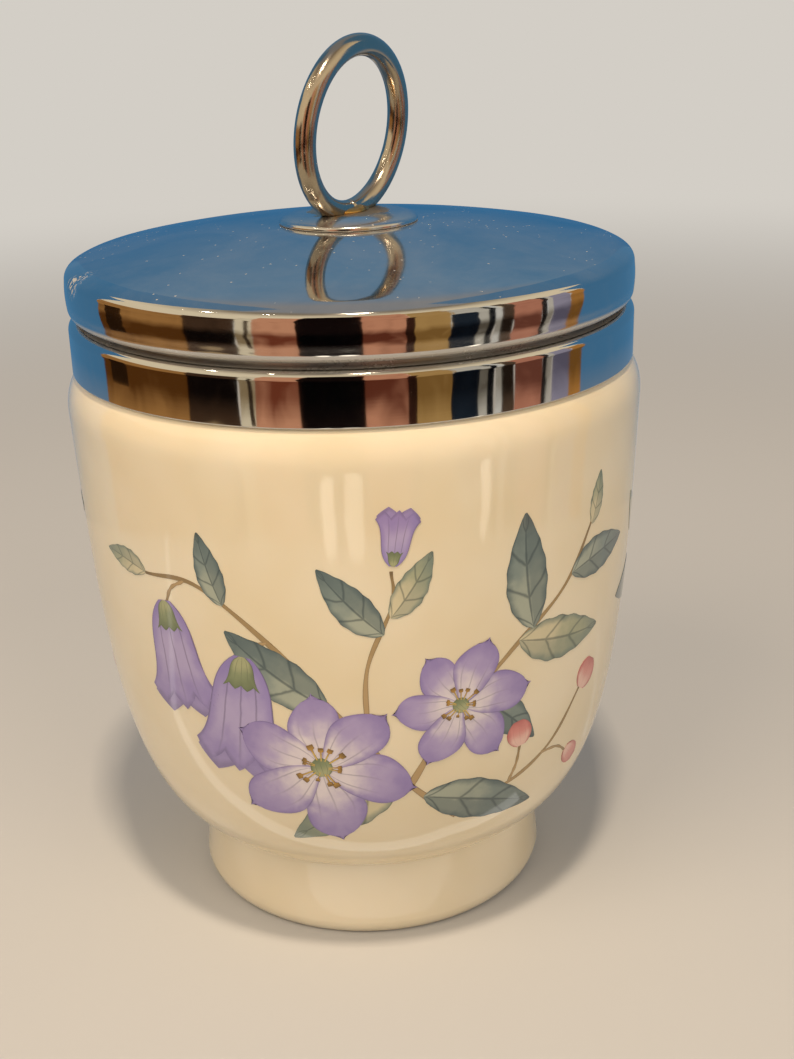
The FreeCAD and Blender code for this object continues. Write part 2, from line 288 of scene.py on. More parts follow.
class Outline:
    """A half-section in the r-z plane, in millimetres, drawn finely enough to spin smooth."""

    ARC_STEP = 5.0      # degrees between the points of a tight arc
    MOST_STEPS = 64     # of a tight arc
    LONGEST_STEP = 1.0  # millimetres between the points of a wide one
    NEAR = 1e-9         # millimetres that count as touching

    def __init__(self, r: float, z: float) -> None:
        """Start the outline at a point."""
        self.points: list[Point] = [(r, z)]

    def line(self, *ends: Sequence[float]) -> "Outline":
        """Draw straight to one point after another."""
        self.points.extend((float(r), float(z)) for r, z in ends)
        return self

    def arc(self, centre: Point, radius: float, to_angle: float) -> "Outline":
        """Draw an arc, the shorter way.

        Args:
            centre: The arc's middle.
            radius: Its radius.
            to_angle: The angle above level, in degrees, at which it ends.

        Returns:
            This outline.
        """
        here = self.points[-1]
        start = math.atan2(here[1] - centre[1], here[0] - centre[0])
        turn = math.remainder(math.radians(to_angle) - start, 2 * math.pi)
        tight = abs(math.degrees(turn)) / self.ARC_STEP
        steps = math.ceil(max(min(tight, self.MOST_STEPS), abs(turn) * radius / self.LONGEST_STEP, 2))
        return self.line(*(polar(centre, radius, math.degrees(start + turn * i / steps))
                           for i in range(1, steps + 1)))

    def bulge(self, end: Point, height: float) -> "Outline":
        """Draw a shallow arc to a point.

        Args:
            end: The point.
            height: How far it bulges in the middle, to the right of the way.

        Returns:
            This outline.
        """
        start = np.array(self.points[-1])
        way = np.array(end) - start
        length = float(np.hypot(*way))
        right = np.array([way[1], -way[0]]) / length
        steps = max(8, math.ceil(length / self.LONGEST_STEP))
        return self.line(*(start + s * way + right * height * 4 * s * (1 - s)
                           for s in (i / steps for i in range(1, steps + 1))))

    def corner(self, at: Point, radius: float, towards: Point) -> "Outline":
        """Draw a line to a corner and round it off.

        Args:
            at: The corner.
            radius: Its radius.
            towards: A point on the way on.

        Returns:
            This outline, which ends where the round does.
        """
        here, tip, onward = (np.array(p, float) for p in (self.points[-1], at, towards))
        back, ahead = ((p - tip) / np.hypot(*(p - tip)) for p in (here, onward))
        half = math.acos(float(np.clip(back @ ahead, -1, 1))) / 2
        middle = (back + ahead) / np.hypot(*(back + ahead))
        centre = tip + middle * radius / math.sin(half)
        begin, end = (tip + way * radius / math.tan(half) for way in (back, ahead))
        leave = math.degrees(math.atan2(end[1] - centre[1], end[0] - centre[0]))
        return self.line(begin).arc((float(centre[0]), float(centre[1])), radius, leave)

    def curve(self, *poles: Point) -> "Outline":
        """Draw a Bezier curve from here.

        Args:
            *poles: Its poles after this point, of which the last is its end.

        Returns:
            This outline.
        """
        control = np.array([self.points[-1], *poles])
        order = len(control) - 1
        steps = math.ceil(float(np.hypot(*(control[-1] - control[0]))) / self.LONGEST_STEP) + 12
        weights = [[math.comb(order, i) * s**i * (1 - s)**(order - i) for i in range(order + 1)]
                   for s in np.linspace(0, 1, steps + 1)[1:]]
        return self.line(*(np.array(weight) @ control for weight in weights))

    def spun(self, name: str, segments: int = 240) -> Object:
        """Spin the outline about Z.

        Args:
            name: Name of the new object.
            segments: Steps round the axis.

        Returns:
            A closed mesh, smooth but for its real corners, with its faces outwards.
        """
        rings = [p for i, p in enumerate(self.points) if i == 0 or p != self.points[i - 1]]
        on_axis = rings[0][0] < self.NEAR and rings[-1][0] < self.NEAR
        if not on_axis and math.dist(rings[0], rings[-1]) < self.NEAR:
            rings.pop()
        angles = np.arange(segments) * 2 * math.pi / segments
        points: list[Sequence[float]] = []
        starts: list[tuple[int, int]] = []
        for r, z in rings:
            count = 1 if r < self.NEAR else segments
            starts.append((len(points), count))
            points += [(r * math.cos(turn), r * math.sin(turn), z) for turn in angles[:count]]
        faces = []
        for i in range(len(rings) - on_axis):
            (low, low_count), (high, high_count) = starts[i], starts[(i + 1) % len(rings)]
            for j in range(segments):
                k = (j + 1) % segments
                a, b, c, d = (low + j % low_count, low + k % low_count,
                              high + k % high_count, high + j % high_count)
                faces.append([a, b, c, d] if a != b and c != d else [a, b, c] if a != b else [a, c, d])
        if sum(p[0] * q[1] - q[0] * p[1] for p, q in zip(rings, rings[1:] + rings[:1])) < 0:
            faces = [face[::-1] for face in faces]
        mesh = new_mesh(name, points, faces)
        smooth_by_angle(mesh)
        return link_object(name, mesh)


def merge(target: Object, other: Object) -> None:
    """Take the mesh of another object into one and remove the other.

    Args:
        target: The object that keeps both meshes.
        other: The object that is removed.
    """
    joined = bmesh.new()
    joined.from_mesh(target.data)
    joined.from_mesh(other.data)
    joined.to_mesh(target.data)
    joined.free()
    bpy.data.objects.remove(other)


def carved(target: Object, tool: Object) -> Object:
    """Cut one closed mesh out of another.

    Args:
        target: The mesh that is cut.
        tool: The cutter, which is removed.

    Returns:
        The mesh that is cut.
    """
    modifier = target.modifiers.new("cut", "BOOLEAN")
    modifier.operation, modifier.solver, modifier.object = "DIFFERENCE", "EXACT", tool
    graph = bpy.context.evaluated_depsgraph_get()
    mesh = bpy.data.meshes.new_from_object(target.evaluated_get(graph), depsgraph=graph)
    target.modifiers.remove(modifier)
    target.data = mesh
    bpy.data.objects.remove(tool)
    smooth_by_angle(mesh)
    return target


def filed_flat(piece: Object, height: float) -> Object:
    """Cut a closed mesh off level and close the cut.

    Args:
        piece: The mesh.
        height: The height in millimetres below which it is cut off.

    Returns:
        The same piece.
    """
    shape = bmesh.new()
    shape.from_mesh(piece.data)
    cut = bmesh.ops.bisect_plane(shape, geom=[*shape.verts, *shape.edges, *shape.faces],
                                 plane_co=(0, 0, height * MM), plane_no=(0, 0, 1),
                                 clear_inner=True)
    rim = [e for e in cut["geom_cut"] if isinstance(e, bmesh.types.BMEdge)]
    bmesh.ops.holes_fill(shape, edges=rim, sides=0)
    bmesh.ops.triangulate(shape, faces=[f for f in shape.faces if len(f.verts) > 4])
    shape.to_mesh(piece.data)
    shape.free()
    smooth_by_angle(piece.data)
    return piece


# ---- Geometry Nodes ----


def new_tree(name: str, inputs: dict[str, str]) -> tuple[NodeTree, Field]:
    """Start a geometry tree with named inputs.

    Args:
        name: The tree's name.
        inputs: Kinds of socket by input name.

    Returns:
        The tree and its input node.
    """
    tree = bpy.data.node_groups.new(name, "GeometryNodeTree")
    for title, kind in {"Geometry": "Geometry", **inputs}.items():
        tree.interface.new_socket(title, in_out="INPUT", socket_type=f"NodeSocket{kind}")
    tree.interface.new_socket("Geometry", in_out="OUTPUT", socket_type="NodeSocketGeometry")
    return tree, add_node(tree, "NodeGroupInput")


def end_tree(tree: NodeTree, shape: Field, material: Field) -> None:
    """End a geometry tree in Realize Instances and Set Material.

    Args:
        tree: The tree.
        shape: Its geometry.
        material: The material input.
    """
    real = add_node(tree, "GeometryNodeRealizeInstances", {"Geometry": shape})
    dressed = add_node(tree, "GeometryNodeSetMaterial", {"Geometry": real, "Material": material})
    add_node(tree, "NodeGroupOutput", {0: dressed})


def grown(name: str, start: Mesh, tree: NodeTree, values: dict[str, Any],
          film: float = 0.0) -> Object:
    """Grow a plain mesh with a geometry tree.

    Args:
        name: Name of the new object.
        start: The mesh that the tree begins with.
        tree: The tree.
        values: The tree's inputs by name.
        film: Thickness in millimetres to give a sheet, inwards.

    Returns:
        An object without modifiers, whose faces point outwards.
    """
    carrier = link_object(f"{name}_carrier", start)
    modifier = carrier.modifiers.new("growth", "NODES")
    modifier.node_group = tree
    for item in tree.interface.items_tree:
        if item.in_out == "INPUT" and item.name in values:
            modifier[item.identifier] = values[item.name]
    if film:
        wall = carrier.modifiers.new("film", "SOLIDIFY")
        wall.thickness, wall.offset = film * MM, -1.0
    graph = bpy.context.evaluated_depsgraph_get()
    mesh = bpy.data.meshes.new_from_object(carrier.evaluated_get(graph),
                                           preserve_all_data_layers=True, depsgraph=graph)
    mesh.name = name
    bpy.data.objects.remove(carrier)
    face_outwards(mesh)
    return link_object(name, mesh)


# ---- Finishes ----


@dataclass(frozen=True)
class Finish:
    """A surface finish. Each kind draws its own shader."""

    name: str

    def shader(self, tree: NodeTree) -> Field:
        """Draw the nodes of the finish.

        Args:
            tree: The material's empty tree.

        Returns:
            The shader's output.
        """
        raise NotImplementedError

    def material(self) -> Material:
        """The material of this finish."""
        return new_material(self.name, self.shader)


def spun_place(tree: NodeTree, place: Field) -> tuple[Field, Field]:
    """Work out where marks of spinning lie.

    Args:
        tree: The material's tree.
        place: Object coordinates.

    Returns:
        The radius from the axis, and a place that is the same all round it.
    """
    flat = add_node(tree, "VectorMath", {0: place, 1: (1.0, 1.0, 0.0)}, operation="MULTIPLY")
    radius = add_node(tree, "VectorMath", {0: flat}, "Value", operation="LENGTH")
    height = add_node(tree, "SeparateXYZ", {0: place}, 2)
    return radius, add_node(tree, "CombineXYZ", {0: radius, 2: height})


@dataclass(frozen=True)
class GlazedPorcelain(Finish):
    """Slip-cast porcelain under a clear fired glaze: creamy, glossy and a little translucent."""

    body: str = "#F0E4CA"
    pooled: str = "#E9DAB9"
    biscuit: str = "#D8C9AE"
    speck: str = "#B39A77"
    roughness: float = 0.075
    bare_roughness: float = 0.62
    ior: float = 1.54
    mottle_mm: float = 16.0
    ripple_mm: float = 8.0
    ripple_depth_mm: float = 0.035
    speck_spacing_mm: float = 5.5
    speck_share: float = 0.05
    speck_strength: float = 0.7
    speck_edge: Point = (0.02, 0.05)
    wiped_height_mm: float = 0.45
    wiped_sharpness: float = 0.8
    pooled_range: Point = (0.35, 0.7)
    scatter: float = 0.12
    scatter_mm: float = 1.2
    scatter_colour: Triple = (1.0, 0.75, 0.5)

    def shader(self, tree: NodeTree) -> Field:
        """Cream body with faint mottling, rare iron specks, wiped foot and rippled glaze.

        Args:
            tree: The material's empty tree.

        Returns:
            The shader's output.
        """
        add = partial(add_node, tree)
        place = add("TexCoord", output="Object")
        mottle = add("TexNoise", {"Vector": place, "Scale": per_mm(self.mottle_mm), "Detail": 2.0})
        tone = add("MapRange", {"Value": mottle, "From Min": self.pooled_range[0],
                                "From Max": self.pooled_range[1]})
        cells = add("TexVoronoi", {"Vector": place, "Scale": per_mm(self.speck_spacing_mm)})
        dot = add("MapRange", {"Value": cells, "From Min": self.speck_edge[0],
                               "From Max": self.speck_edge[1], "To Min": self.speck_strength,
                               "To Max": 0.0})
        fleck = cells.out("Color").by("LESS_THAN", self.speck_share) * dot
        bare = add("MapRange", {"Value": add("SeparateXYZ", {0: place}, 2),
                                "From Min": self.wiped_height_mm * MM * self.wiped_sharpness,
                                "From Max": self.wiped_height_mm * MM, "To Min": 1.0,
                                "To Max": 0.0})
        colour: Any = self.body
        for share, over in ((tone, self.pooled), (fleck, self.speck), (bare, self.biscuit)):
            colour = add("Mix", {0: share, 6: colour, 7: over}, 2, data_type="RGBA")
        rough = add("MapRange", {"Value": bare, "To Min": self.roughness,
                                 "To Max": self.bare_roughness})
        ripple = add("TexNoise", {"Vector": place, "Scale": per_mm(self.ripple_mm), "Detail": 1.0,
                                  "Roughness": 0.3})
        bump = add("Bump", {"Height": ripple, "Strength": 1.0,
                            "Distance": self.ripple_depth_mm * MM})
        return add("BsdfPrincipled", {"Base Color": colour, "Roughness": rough, "IOR": self.ior,
                                      "Subsurface Weight": self.scatter,
                                      "Subsurface Radius": self.scatter_colour,
                                      "Subsurface Scale": self.scatter_mm * MM, "Normal": bump})


@dataclass(frozen=True)
class ChromiumPlate(Finish):
    """Bright chromium over nickel: a neutral mirror with a wiping haze, hairlines and dust.

    Undersides and what lies inside the groove's radius are duller, as no polishing mop reaches them,
    and take the pale dust colour: painted light where they lie in shade.
    Dust and hairlines are drawn coarser than real ones, so that they show.
    """

    metal: str = "#C9C9C8"
    dust_and_painted_fill: str = "#C6C0B4"
    brass: str = "#B08A48"
    polish: float = 0.035
    smudge: float = 0.06
    smudge_mm: float = 17.0
    smudge_dust: float = 0.17
    smudge_range: Point = (0.35, 0.75)
    dust_amount: float = 0.0
    dust_mm: float = 0.6
    dust_slope: Point = (0.45, 0.98)
    dust_cover: float = 0.9
    dust_roughness: float = 0.4
    speck_share: float = 0.42
    speck_edge: Point = (0.12, 0.27)
    groove_radius_mm: float = 0.0
    dull_and_painted_fill: float = 0.55
    flash_mm: float = 0.0
    flash_edge_mm: float = 0.3
    flash_lump_mm: float = 1.6
    flash_lump_reach_mm: float = 3.0
    flash_strength: float = 0.8
    flash_roughness: float = 0.2
    scratch_mm: float = 0.45
    scratch_stretch: float = 0.22
    scratch_level: float = 0.52
    scratch_contrast: float = 30.0
    hairline_mm: float = 0.16
    hairline_depth_mm: float = 0.0006
    wave_mm: float = 7.0
    wave_depth_mm: float = 0.018

    def shader(self, tree: NodeTree) -> Field:
        """Mirror whose gloss varies in wiped patches, with dust where it lies level.

        Args:
            tree: The material's empty tree.

        Returns:
            The shader's output.
        """
        add = partial(add_node, tree)
        place = add("TexCoord", output="Object")
        patches = add("TexNoise", {"Vector": place, "Scale": per_mm(self.smudge_mm), "Detail": 9.0,
                                   "Roughness": 0.72, "Distortion": 0.4})
        haze = add("MapRange", {"Value": patches, "From Min": self.smudge_range[0],
                                "From Max": self.smudge_range[1]})
        facing = add("SeparateXYZ", {0: place.out("Normal")}, 2)
        level = add("MapRange", {"Value": facing, "From Min": self.dust_slope[0],
                                 "From Max": self.dust_slope[1], "To Max": self.dust_amount})
        cells = add("TexVoronoi", {"Vector": place, "Scale": per_mm(self.dust_mm)})
        speck = add("MapRange", {"Value": cells, "From Min": self.speck_edge[0],
                                 "From Max": self.speck_edge[1], "To Min": 1.0, "To Max": 0.0})
        grains = speck * cells.out("Color").by("LESS_THAN", haze * self.speck_share)
        dust_scratch_and_painted_fill = haze.by("MULTIPLY_ADD", self.smudge_dust, grains, clamp=True) * level
        radius, spun = spun_place(tree, place)
        lumps = add("TexNoise", {"Vector": place, "Scale": per_mm(self.flash_lump_mm),
                                 "Detail": 4.0})
        flash = add("MapRange", {"Value": lumps * (self.flash_lump_reach_mm * MM) + radius,
                                 "From Min": self.flash_mm * MM,
                                 "From Max": (self.flash_mm + self.flash_edge_mm) * MM,
                                 "To Min": self.flash_strength if self.flash_mm else 0.0,
                                 "To Max": 0.0})
        drawn_out = add("VectorMath", {0: place, 1: (1.0, 1.0, self.scratch_stretch)},
                        operation="MULTIPLY")
        streaks = add("TexNoise", {"Vector": drawn_out, "Scale": per_mm(self.scratch_mm),
                                   "Detail": 3.0, "Distortion": 0.6})
        nick = add("Attribute", output="Fac", attribute_name="nick")
        scratch = (streaks - self.scratch_level) * nick * self.scratch_contrast
        # Painted light: undersides and the groove's inside get the pale dust colour, a painted fill
        # where they lie in shade.
        under = (facing * -2.0).by("SUBTRACT", 0.1, clamp=True)
        inside = radius.by("LESS_THAN", self.groove_radius_mm * MM)
        unpolished_and_painted_fill = under.by("MAXIMUM", inside) * self.dull_and_painted_fill
        dust_scratch_and_painted_fill = dust_scratch_and_painted_fill.by("MAXIMUM", scratch.by("ADD", 0.0, clamp=True)).by("MAXIMUM", unpolished_and_painted_fill)
        colour: Any = self.metal
        for share, over in ((flash, self.brass), (dust_scratch_and_painted_fill, self.dust_and_painted_fill)):
            colour = add("Mix", {0: share, 6: colour, 7: over}, 2, data_type="RGBA")
        bump = None
        for vector, size, depth, detail in ((place, self.wave_mm, self.wave_depth_mm, 1.0),
                                            (spun, self.hairline_mm, self.hairline_depth_mm, 2.0)):
            marks = add("TexNoise", {"Vector": vector, "Scale": per_mm(size), "Detail": detail})
            bump = add("Bump", {"Height": marks, "Strength": 1.0, "Distance": depth * MM,
                                **({"Normal": bump} if bump else {})})
        rough = (dust_scratch_and_painted_fill * self.dust_roughness + flash * self.flash_roughness
                 + (haze * self.smudge + self.polish))
        return add("BsdfPrincipled", {"Base Color": colour,
                                      "Metallic": dust_scratch_and_painted_fill * -self.dust_cover + 1.0,
                                      "Roughness": rough, "Normal": bump})


@dataclass(frozen=True)
class BlotchedMetal(Finish):
    """Bare metal whose colour and gloss change together in blotches, under lumps or tool marks."""

    metal: str
    stain: str
    roughness: float
    stained_roughness: float
    blotch_mm: float
    blotch_detail: float
    blotch_from: float
    blotch_to: float
    blotch_top: float
    mark_mm: float
    mark_depth_mm: float

    def shader(self, tree: NodeTree) -> Field:
        """Blotched metal. With a mark size it has tool marks round the axis, else a lumpy skin.

        Args:
            tree: The material's empty tree.

        Returns:
            The shader's output.
        """
        add = partial(add_node, tree)
        place = add("TexCoord", output="Object")
        blotch = add("TexNoise", {"Vector": place, "Scale": per_mm(self.blotch_mm),
                                  "Detail": self.blotch_detail})
        stained = add("MapRange", {"Value": blotch, "From Min": self.blotch_from,
                                   "From Max": self.blotch_to, "To Max": self.blotch_top})
        colour = add("Mix", {0: stained, 6: self.metal, 7: self.stain}, 2, data_type="RGBA")
        rough = add("MapRange", {"Value": stained, "To Min": self.roughness,
                                 "To Max": self.stained_roughness})
        marks = blotch
        if self.mark_mm:
            marks = add("TexNoise", {"Vector": spun_place(tree, place)[1],
                                     "Scale": per_mm(self.mark_mm), "Detail": 1.0})
        bump = add("Bump", {"Height": marks, "Strength": 0.8,
                            "Distance": self.mark_depth_mm * MM})
        return add("BsdfPrincipled", {"Base Color": colour, "Metallic": 1.0, "Roughness": rough,
                                      "Normal": bump})


@dataclass(frozen=True)
class TurnedSteel(BlotchedMetal):
    """Plain steel from the lathe: grey, satin and water-stained, with fine rings of tool marks."""

    metal: str = "#A8A59C"
    stain: str = "#7D7568"
    roughness: float = 0.3
    stained_roughness: float = 0.5
    blotch_mm: float = 5.0
    blotch_detail: float = 4.0
    blotch_from: float = 0.5
    blotch_to: float = 0.75
    blotch_top: float = 0.7
    mark_mm: float = 0.12
    mark_depth_mm: float = 0.004


@dataclass(frozen=True)
class BrassBraze(BlotchedMetal):
    """Brazing brass as it set: golden, browned by flux in blotches, with a lumpy skin."""

    metal: str = "#C39A55"
    stain: str = "#6B5230"
    roughness: float = 0.34
    stained_roughness: float = 0.55
    blotch_mm: float = 0.9
    blotch_detail: float = 5.0
    blotch_from: float = 0.45
    blotch_to: float = 0.7
    blotch_top: float = 1.0
    mark_mm: float = 0.0
    mark_depth_mm: float = 0.05


@dataclass(frozen=True)
class PrintedColour(Finish):
    """Ceramic colour printed on a transfer and fired on the glaze: soft washes, as glossy as the glaze.

    A motif's UV map runs along it in U and across it in V, and its tint attribute deepens the wash.
    """

    heart: str
    wash: str
    rim: str
    vein: str
    heart_reach: float = 0.25
    wash_reach: float = 0.7
    side_shade: float = 0.0
    vein_count: float = 4.0
    vein_slant: float = 0.0
    vein_strength: float = 0.55
    vein_width: float = 0.2
    vein_end: float = 0.9
    vein_fade: float = 0.5
    midrib: Point = (0.09, 0.02)
    rim_range: Point = (0.62, 1.02)
    rim_strength: float = 0.8
    side_range: Point = (-0.12, 0.16)
    outline: float = 0.35
    outline_range: Point = (0.93, 0.99)
    outline_gaps: Point = (-0.25, 0.1)
    cloud_mm: float = 2.2
    roughness: float = 0.08
    ior: float = 1.54

    def shader(self, tree: NodeTree) -> Field:
        """Pale heart, fuller wash, deeper rim, one shaded side, fine drawn veins and an outline.

        Args:
            tree: The material's empty tree.

        Returns:
            The shader's output.
        """
        add = partial(add_node, tree)
        along = add("SeparateXYZ", {0: add("UVMap", uv_map="print")})
        across = along.out(1) * 2.0 - 1.0
        side = across.by("ABSOLUTE")
        reach = side.by("MAXIMUM", along)
        place = add("TexCoord", output="Object")
        cloud = add("TexNoise", {"Vector": place, "Scale": per_mm(self.cloud_mm),
                                 "Detail": 3.0}) - 0.5
        tint = add("Attribute", output="Fac", attribute_name="tint")
        spread = (side if self.vein_slant else across) * self.vein_count
        wave = (spread + along * self.vein_slant + cloud * 0.35).by("PINGPONG", 1.0)
        body, deep, shaded, veins, midrib, vein_end, edge, unbroken = (
            add("MapRange", {"Value": value, "From Min": low, "From Max": high, "To Max": top},
                interpolation_type="SMOOTHSTEP")
            for value, (low, high), top in (
                (along + cloud * 0.5 + tint * 0.15, (self.heart_reach, self.wash_reach), 1.0),
                (reach + cloud * 0.45 + tint * 0.1, self.rim_range, self.rim_strength),
                (across + cloud * 0.5, self.side_range, self.side_shade),
                (wave, (self.vein_width, 0.0), self.vein_strength),
                (side, self.midrib, self.vein_strength if self.vein_slant else 0.0),
                (along, (self.vein_end, self.vein_end - self.vein_fade), 1.0),
                (reach + cloud * 0.03, self.outline_range, self.outline),
                (cloud, self.outline_gaps, 1.0)))
        colour: Any = self.heart
        for share, over in ((body, self.wash), (deep, self.rim), (shaded, self.rim),
                            (veins.by("MAXIMUM", midrib) * vein_end, self.vein),
                            (edge * unbroken, self.vein)):
            colour = add("Mix", {0: share, 6: colour, 7: over}, 2, data_type="RGBA")
        return add("BsdfPrincipled", {"Base Color": colour, "Roughness": self.roughness,
                                      "IOR": self.ior})


# ---- Sub-assemblies ----


def finish_piece(piece: Object, finish: Finish, body: str, slot: str,
                 *replaced: str) -> None:
    """Give a finished piece its material and its place in the frame.

    Args:
        piece: The mesh object, at the origin.
        finish: Its surface.
        body: The moving body that it rides on.
        slot: The record's material slot; not used.
        *replaced: Frame nodes that it stands for.
    """
    if not piece.data.materials:
        piece.data.materials.append(finish.material())
    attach(piece, body)
    if replaced:
        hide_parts(*replaced)
    piece.data.calc_loop_triangles()
    LOG.info("%s: %d triangles, on %s, %s", piece.name, len(piece.data.loop_triangles), body,
             finish.name)


@dataclass
class ThreadRidge:
    """A right-hand screw ridge that rises out of a round wall and fades into it. Millimetres."""

    wall: float
    crest: float
    start_height: float
    start_angle: float
    turns: float
    pitch: float = 2.4
    base_width: float = 1.12
    crest_width: float = 0.44
    fade: float = 40.0
    sink: float = 0.2
    steps_per_turn: int = 120

    CORNERS = 4

    def sizes(self) -> dict[str, float]:
        """Work out the tree's inputs.

        Returns:
            Each input's value by its name, with lengths in metres.
        """
        lengths = {"Wall Radius": self.wall, "Crest Radius": self.crest,
                   "Start Height": self.start_height, "Pitch": self.pitch,
                   "Base Width": self.base_width, "Crest Width": self.crest_width}
        return {**{name: length * MM for name, length in lengths.items()},
                "Start Angle": math.radians(self.start_angle), "Turns": self.turns,
                "Fade": self.fade, "Sink": self.sink,
                "Steps": math.ceil(self.turns * self.steps_per_turn) + 1}

    def tree(self) -> NodeTree:
        """Wind a grid's columns round the axis as the ridge's corners.

        Returns:
            The tree, which is made once.
        """
        name = "screw ridge"
        if name in bpy.data.node_groups:
            return bpy.data.node_groups[name]
        tree, given = new_tree(name, {**dict.fromkeys(self.sizes(), "Float"), "Steps": "Int",
                                      "Metal": "Material"})
        add, value = partial(add_node, tree), given.out
        sheet = add("GeometryNodeMeshGrid", {"Size X": 1.0, "Size Y": 1.0,
                                             "Vertices X": value("Steps"),
                                             "Vertices Y": self.CORNERS + 1})
        at = add("SeparateXYZ", {0: add("GeometryNodeInputPosition")})
        share = at + 0.5
        column = ((at.out(1) + 0.5) * float(self.CORNERS)).by("ROUND")
        on_crest, on_top = ((column - middle).by("ABSOLUTE").by("LESS_THAN", 1.0)
                            for middle in (1.5, 2.5))
        end_share = share.by("MINIMUM", (share * -1.0 + 1.0))
        rise = (end_share * value("Turns") * 360.0 / value("Fade")).by("MINIMUM", 1.0)
        lift = (rise * (math.pi / 2)).by("SINE")
        height_share = (lift * on_crest) - (on_crest * -1.0 + 1.0) * value("Sink")
        open_end = end_share.by("GREATER_THAN", 1e-5)
        depth_share = height_share * open_end - (open_end * -1.0 + 1.0) * value("Sink")
        width = value("Base Width") + depth_share * (value("Crest Width") - value("Base Width"))
        side = (on_top * 2.0 - 1.0) * width * 0.5 * open_end
        turn = share * value("Turns") * (2 * math.pi) + value("Start Angle")
        radius = value("Wall Radius") + depth_share * (value("Crest Radius") - value("Wall Radius"))
        height = value("Start Height") + value("Pitch") * value("Turns") * share + side
        place = add("CombineXYZ", {0: radius * turn.by("COSINE"), 1: radius * turn.by("SINE"),
                                   2: height})
        wound = add("GeometryNodeSetPosition", {"Geometry": sheet, "Position": place})
        closed = add("GeometryNodeMergeByDistance", {"Geometry": wound, "Distance": 1e-7})
        end_tree(tree, closed, value("Metal"))
        return tree

    def wind_on(self, piece: Object, finish: Finish) -> None:
        """Give a piece its finish and wind the ridge onto it in the same metal.

        Args:
            piece: The bare piece.
            finish: Its metal.
        """
        metal = finish.material()
        piece.data.materials.append(metal)
        name = f"{piece.name}_ridge"
        merge(piece, grown(name, bpy.data.meshes.new(name), self.tree(),
                           {**self.sizes(), "Metal": metal}))


@dataclass
class Cup:
    """The porcelain cup: foot ring, flared bowl, stepped neck and drawn-in mouth. Millimetres."""

    foot_radius: float = 22.7
    foot_waist: float = 0.3
    foot_top_spread: float = 0.1
    foot_height: float = 10.6
    foot_edge_height: float = 2.0
    foot_edge_width: float = 1.1
    seat_width: float = 2.3
    crease_round: float = 0.5
    widest_height: float = 65.2
    start_angle: float = 26.5
    start_reach: float = 10.5
    flare: float = 2.3
    flare_reach: float = 31.6
    shoulder_radius: float = 6.6
    neck_radius: float = 33.3
    neck_step_height: float = 74.861
    lip_radius: float = 30.85
    wall: float = 3.2
    inside_drop: float = 3.2
    inside_flare: float = 6.0
    inside_round: float = 5.0
    floor_round: float = 13.5
    floor_height: float = 11.0
    lip_width: float = 2.95
    lip_round: float = 0.5
    mouth_depth: float = 7.0
    recess_height: float = 5.4
    recess_taper: float = 1.6
    recess_round: float = 1.2
    finish: GlazedPorcelain = GlazedPorcelain("glazed porcelain")

    def __post_init__(self) -> None:
        """Take the widest radius and the lip's height from the frame."""
        self.radius, _, self.lip_height = size_of("cup")
        self.crease = (self.foot_radius + self.foot_top_spread, self.foot_height)

    def bowl_line(self) -> list[Point]:
        """Draw the bowl's outside from the crease up to its widest place.

        Returns:
            The points of its half-section.
        """
        widest = (self.radius, self.widest_height)
        return Outline(*self.crease).curve(polar(self.crease, self.start_reach, self.start_angle),
                                           polar(widest, self.flare_reach, -90 - self.flare),
                                           widest).points

    def outline(self) -> Outline:
        """Draw the half-section from the middle of the recess round to the middle of the floor.

        Returns:
            The closed half-section.
        """
        seat_outside = self.foot_radius - self.foot_edge_width
        seat_inside = seat_outside - self.seat_width
        edge_round = arc_radius(self.foot_edge_height, self.foot_edge_width)
        below = (self.crease[0] - self.crease_round * 0.15, self.crease[1] - self.crease_round)
        bowl = self.bowl_line()
        above = next(p for p in bowl if p[0] > self.crease[0] + self.crease_round)
        shoulder = polar((self.radius, self.widest_height), self.shoulder_radius, 180 - self.flare)
        shoulder_end = math.degrees(math.acos((self.neck_radius - shoulder[0])
                                              / self.shoulder_radius))
        mouth = self.lip_radius - self.lip_width
        inside = (self.radius - self.wall, self.widest_height - self.inside_drop)
        taper = (inside[1] - self.floor_height) * math.tan(math.radians(self.inside_flare))
        section = Outline(0, self.recess_height)
        section.corner((seat_inside - self.recess_taper, self.recess_height), self.recess_round,
                       (seat_inside, 0))
        section.line((seat_inside, 0), (seat_outside, 0))
        section.arc((self.foot_radius - edge_round, self.foot_edge_height), edge_round, 0)
        section.bulge(below, -self.foot_waist).curve(self.crease, self.crease, above)
        section.line(*[p for p in bowl if p[0] > above[0]])
        section.arc(shoulder, self.shoulder_radius, shoulder_end)
        section.line((self.neck_radius, self.neck_step_height),
                     (self.lip_radius, self.neck_step_height))
        for at, radius, towards in (
                ((self.lip_radius, self.lip_height), self.lip_round, (mouth, self.lip_height)),
                ((mouth, self.lip_height), self.lip_round, (mouth, 0)),
                ((mouth, self.lip_height - self.mouth_depth), self.inside_round, inside),
                (inside, self.inside_round, (inside[0] - taper, self.floor_height)),
                ((inside[0] - taper, self.floor_height), self.floor_round, (0, self.floor_height))):
            section.corner(at, radius, towards)
        return section.line((0, self.floor_height))

    def build(self) -> None:
        """Make the cup and put it in the frame."""
        finish_piece(self.outline().spun("porcelain_cup"), self.finish, "cup", "porcelain", "cup")


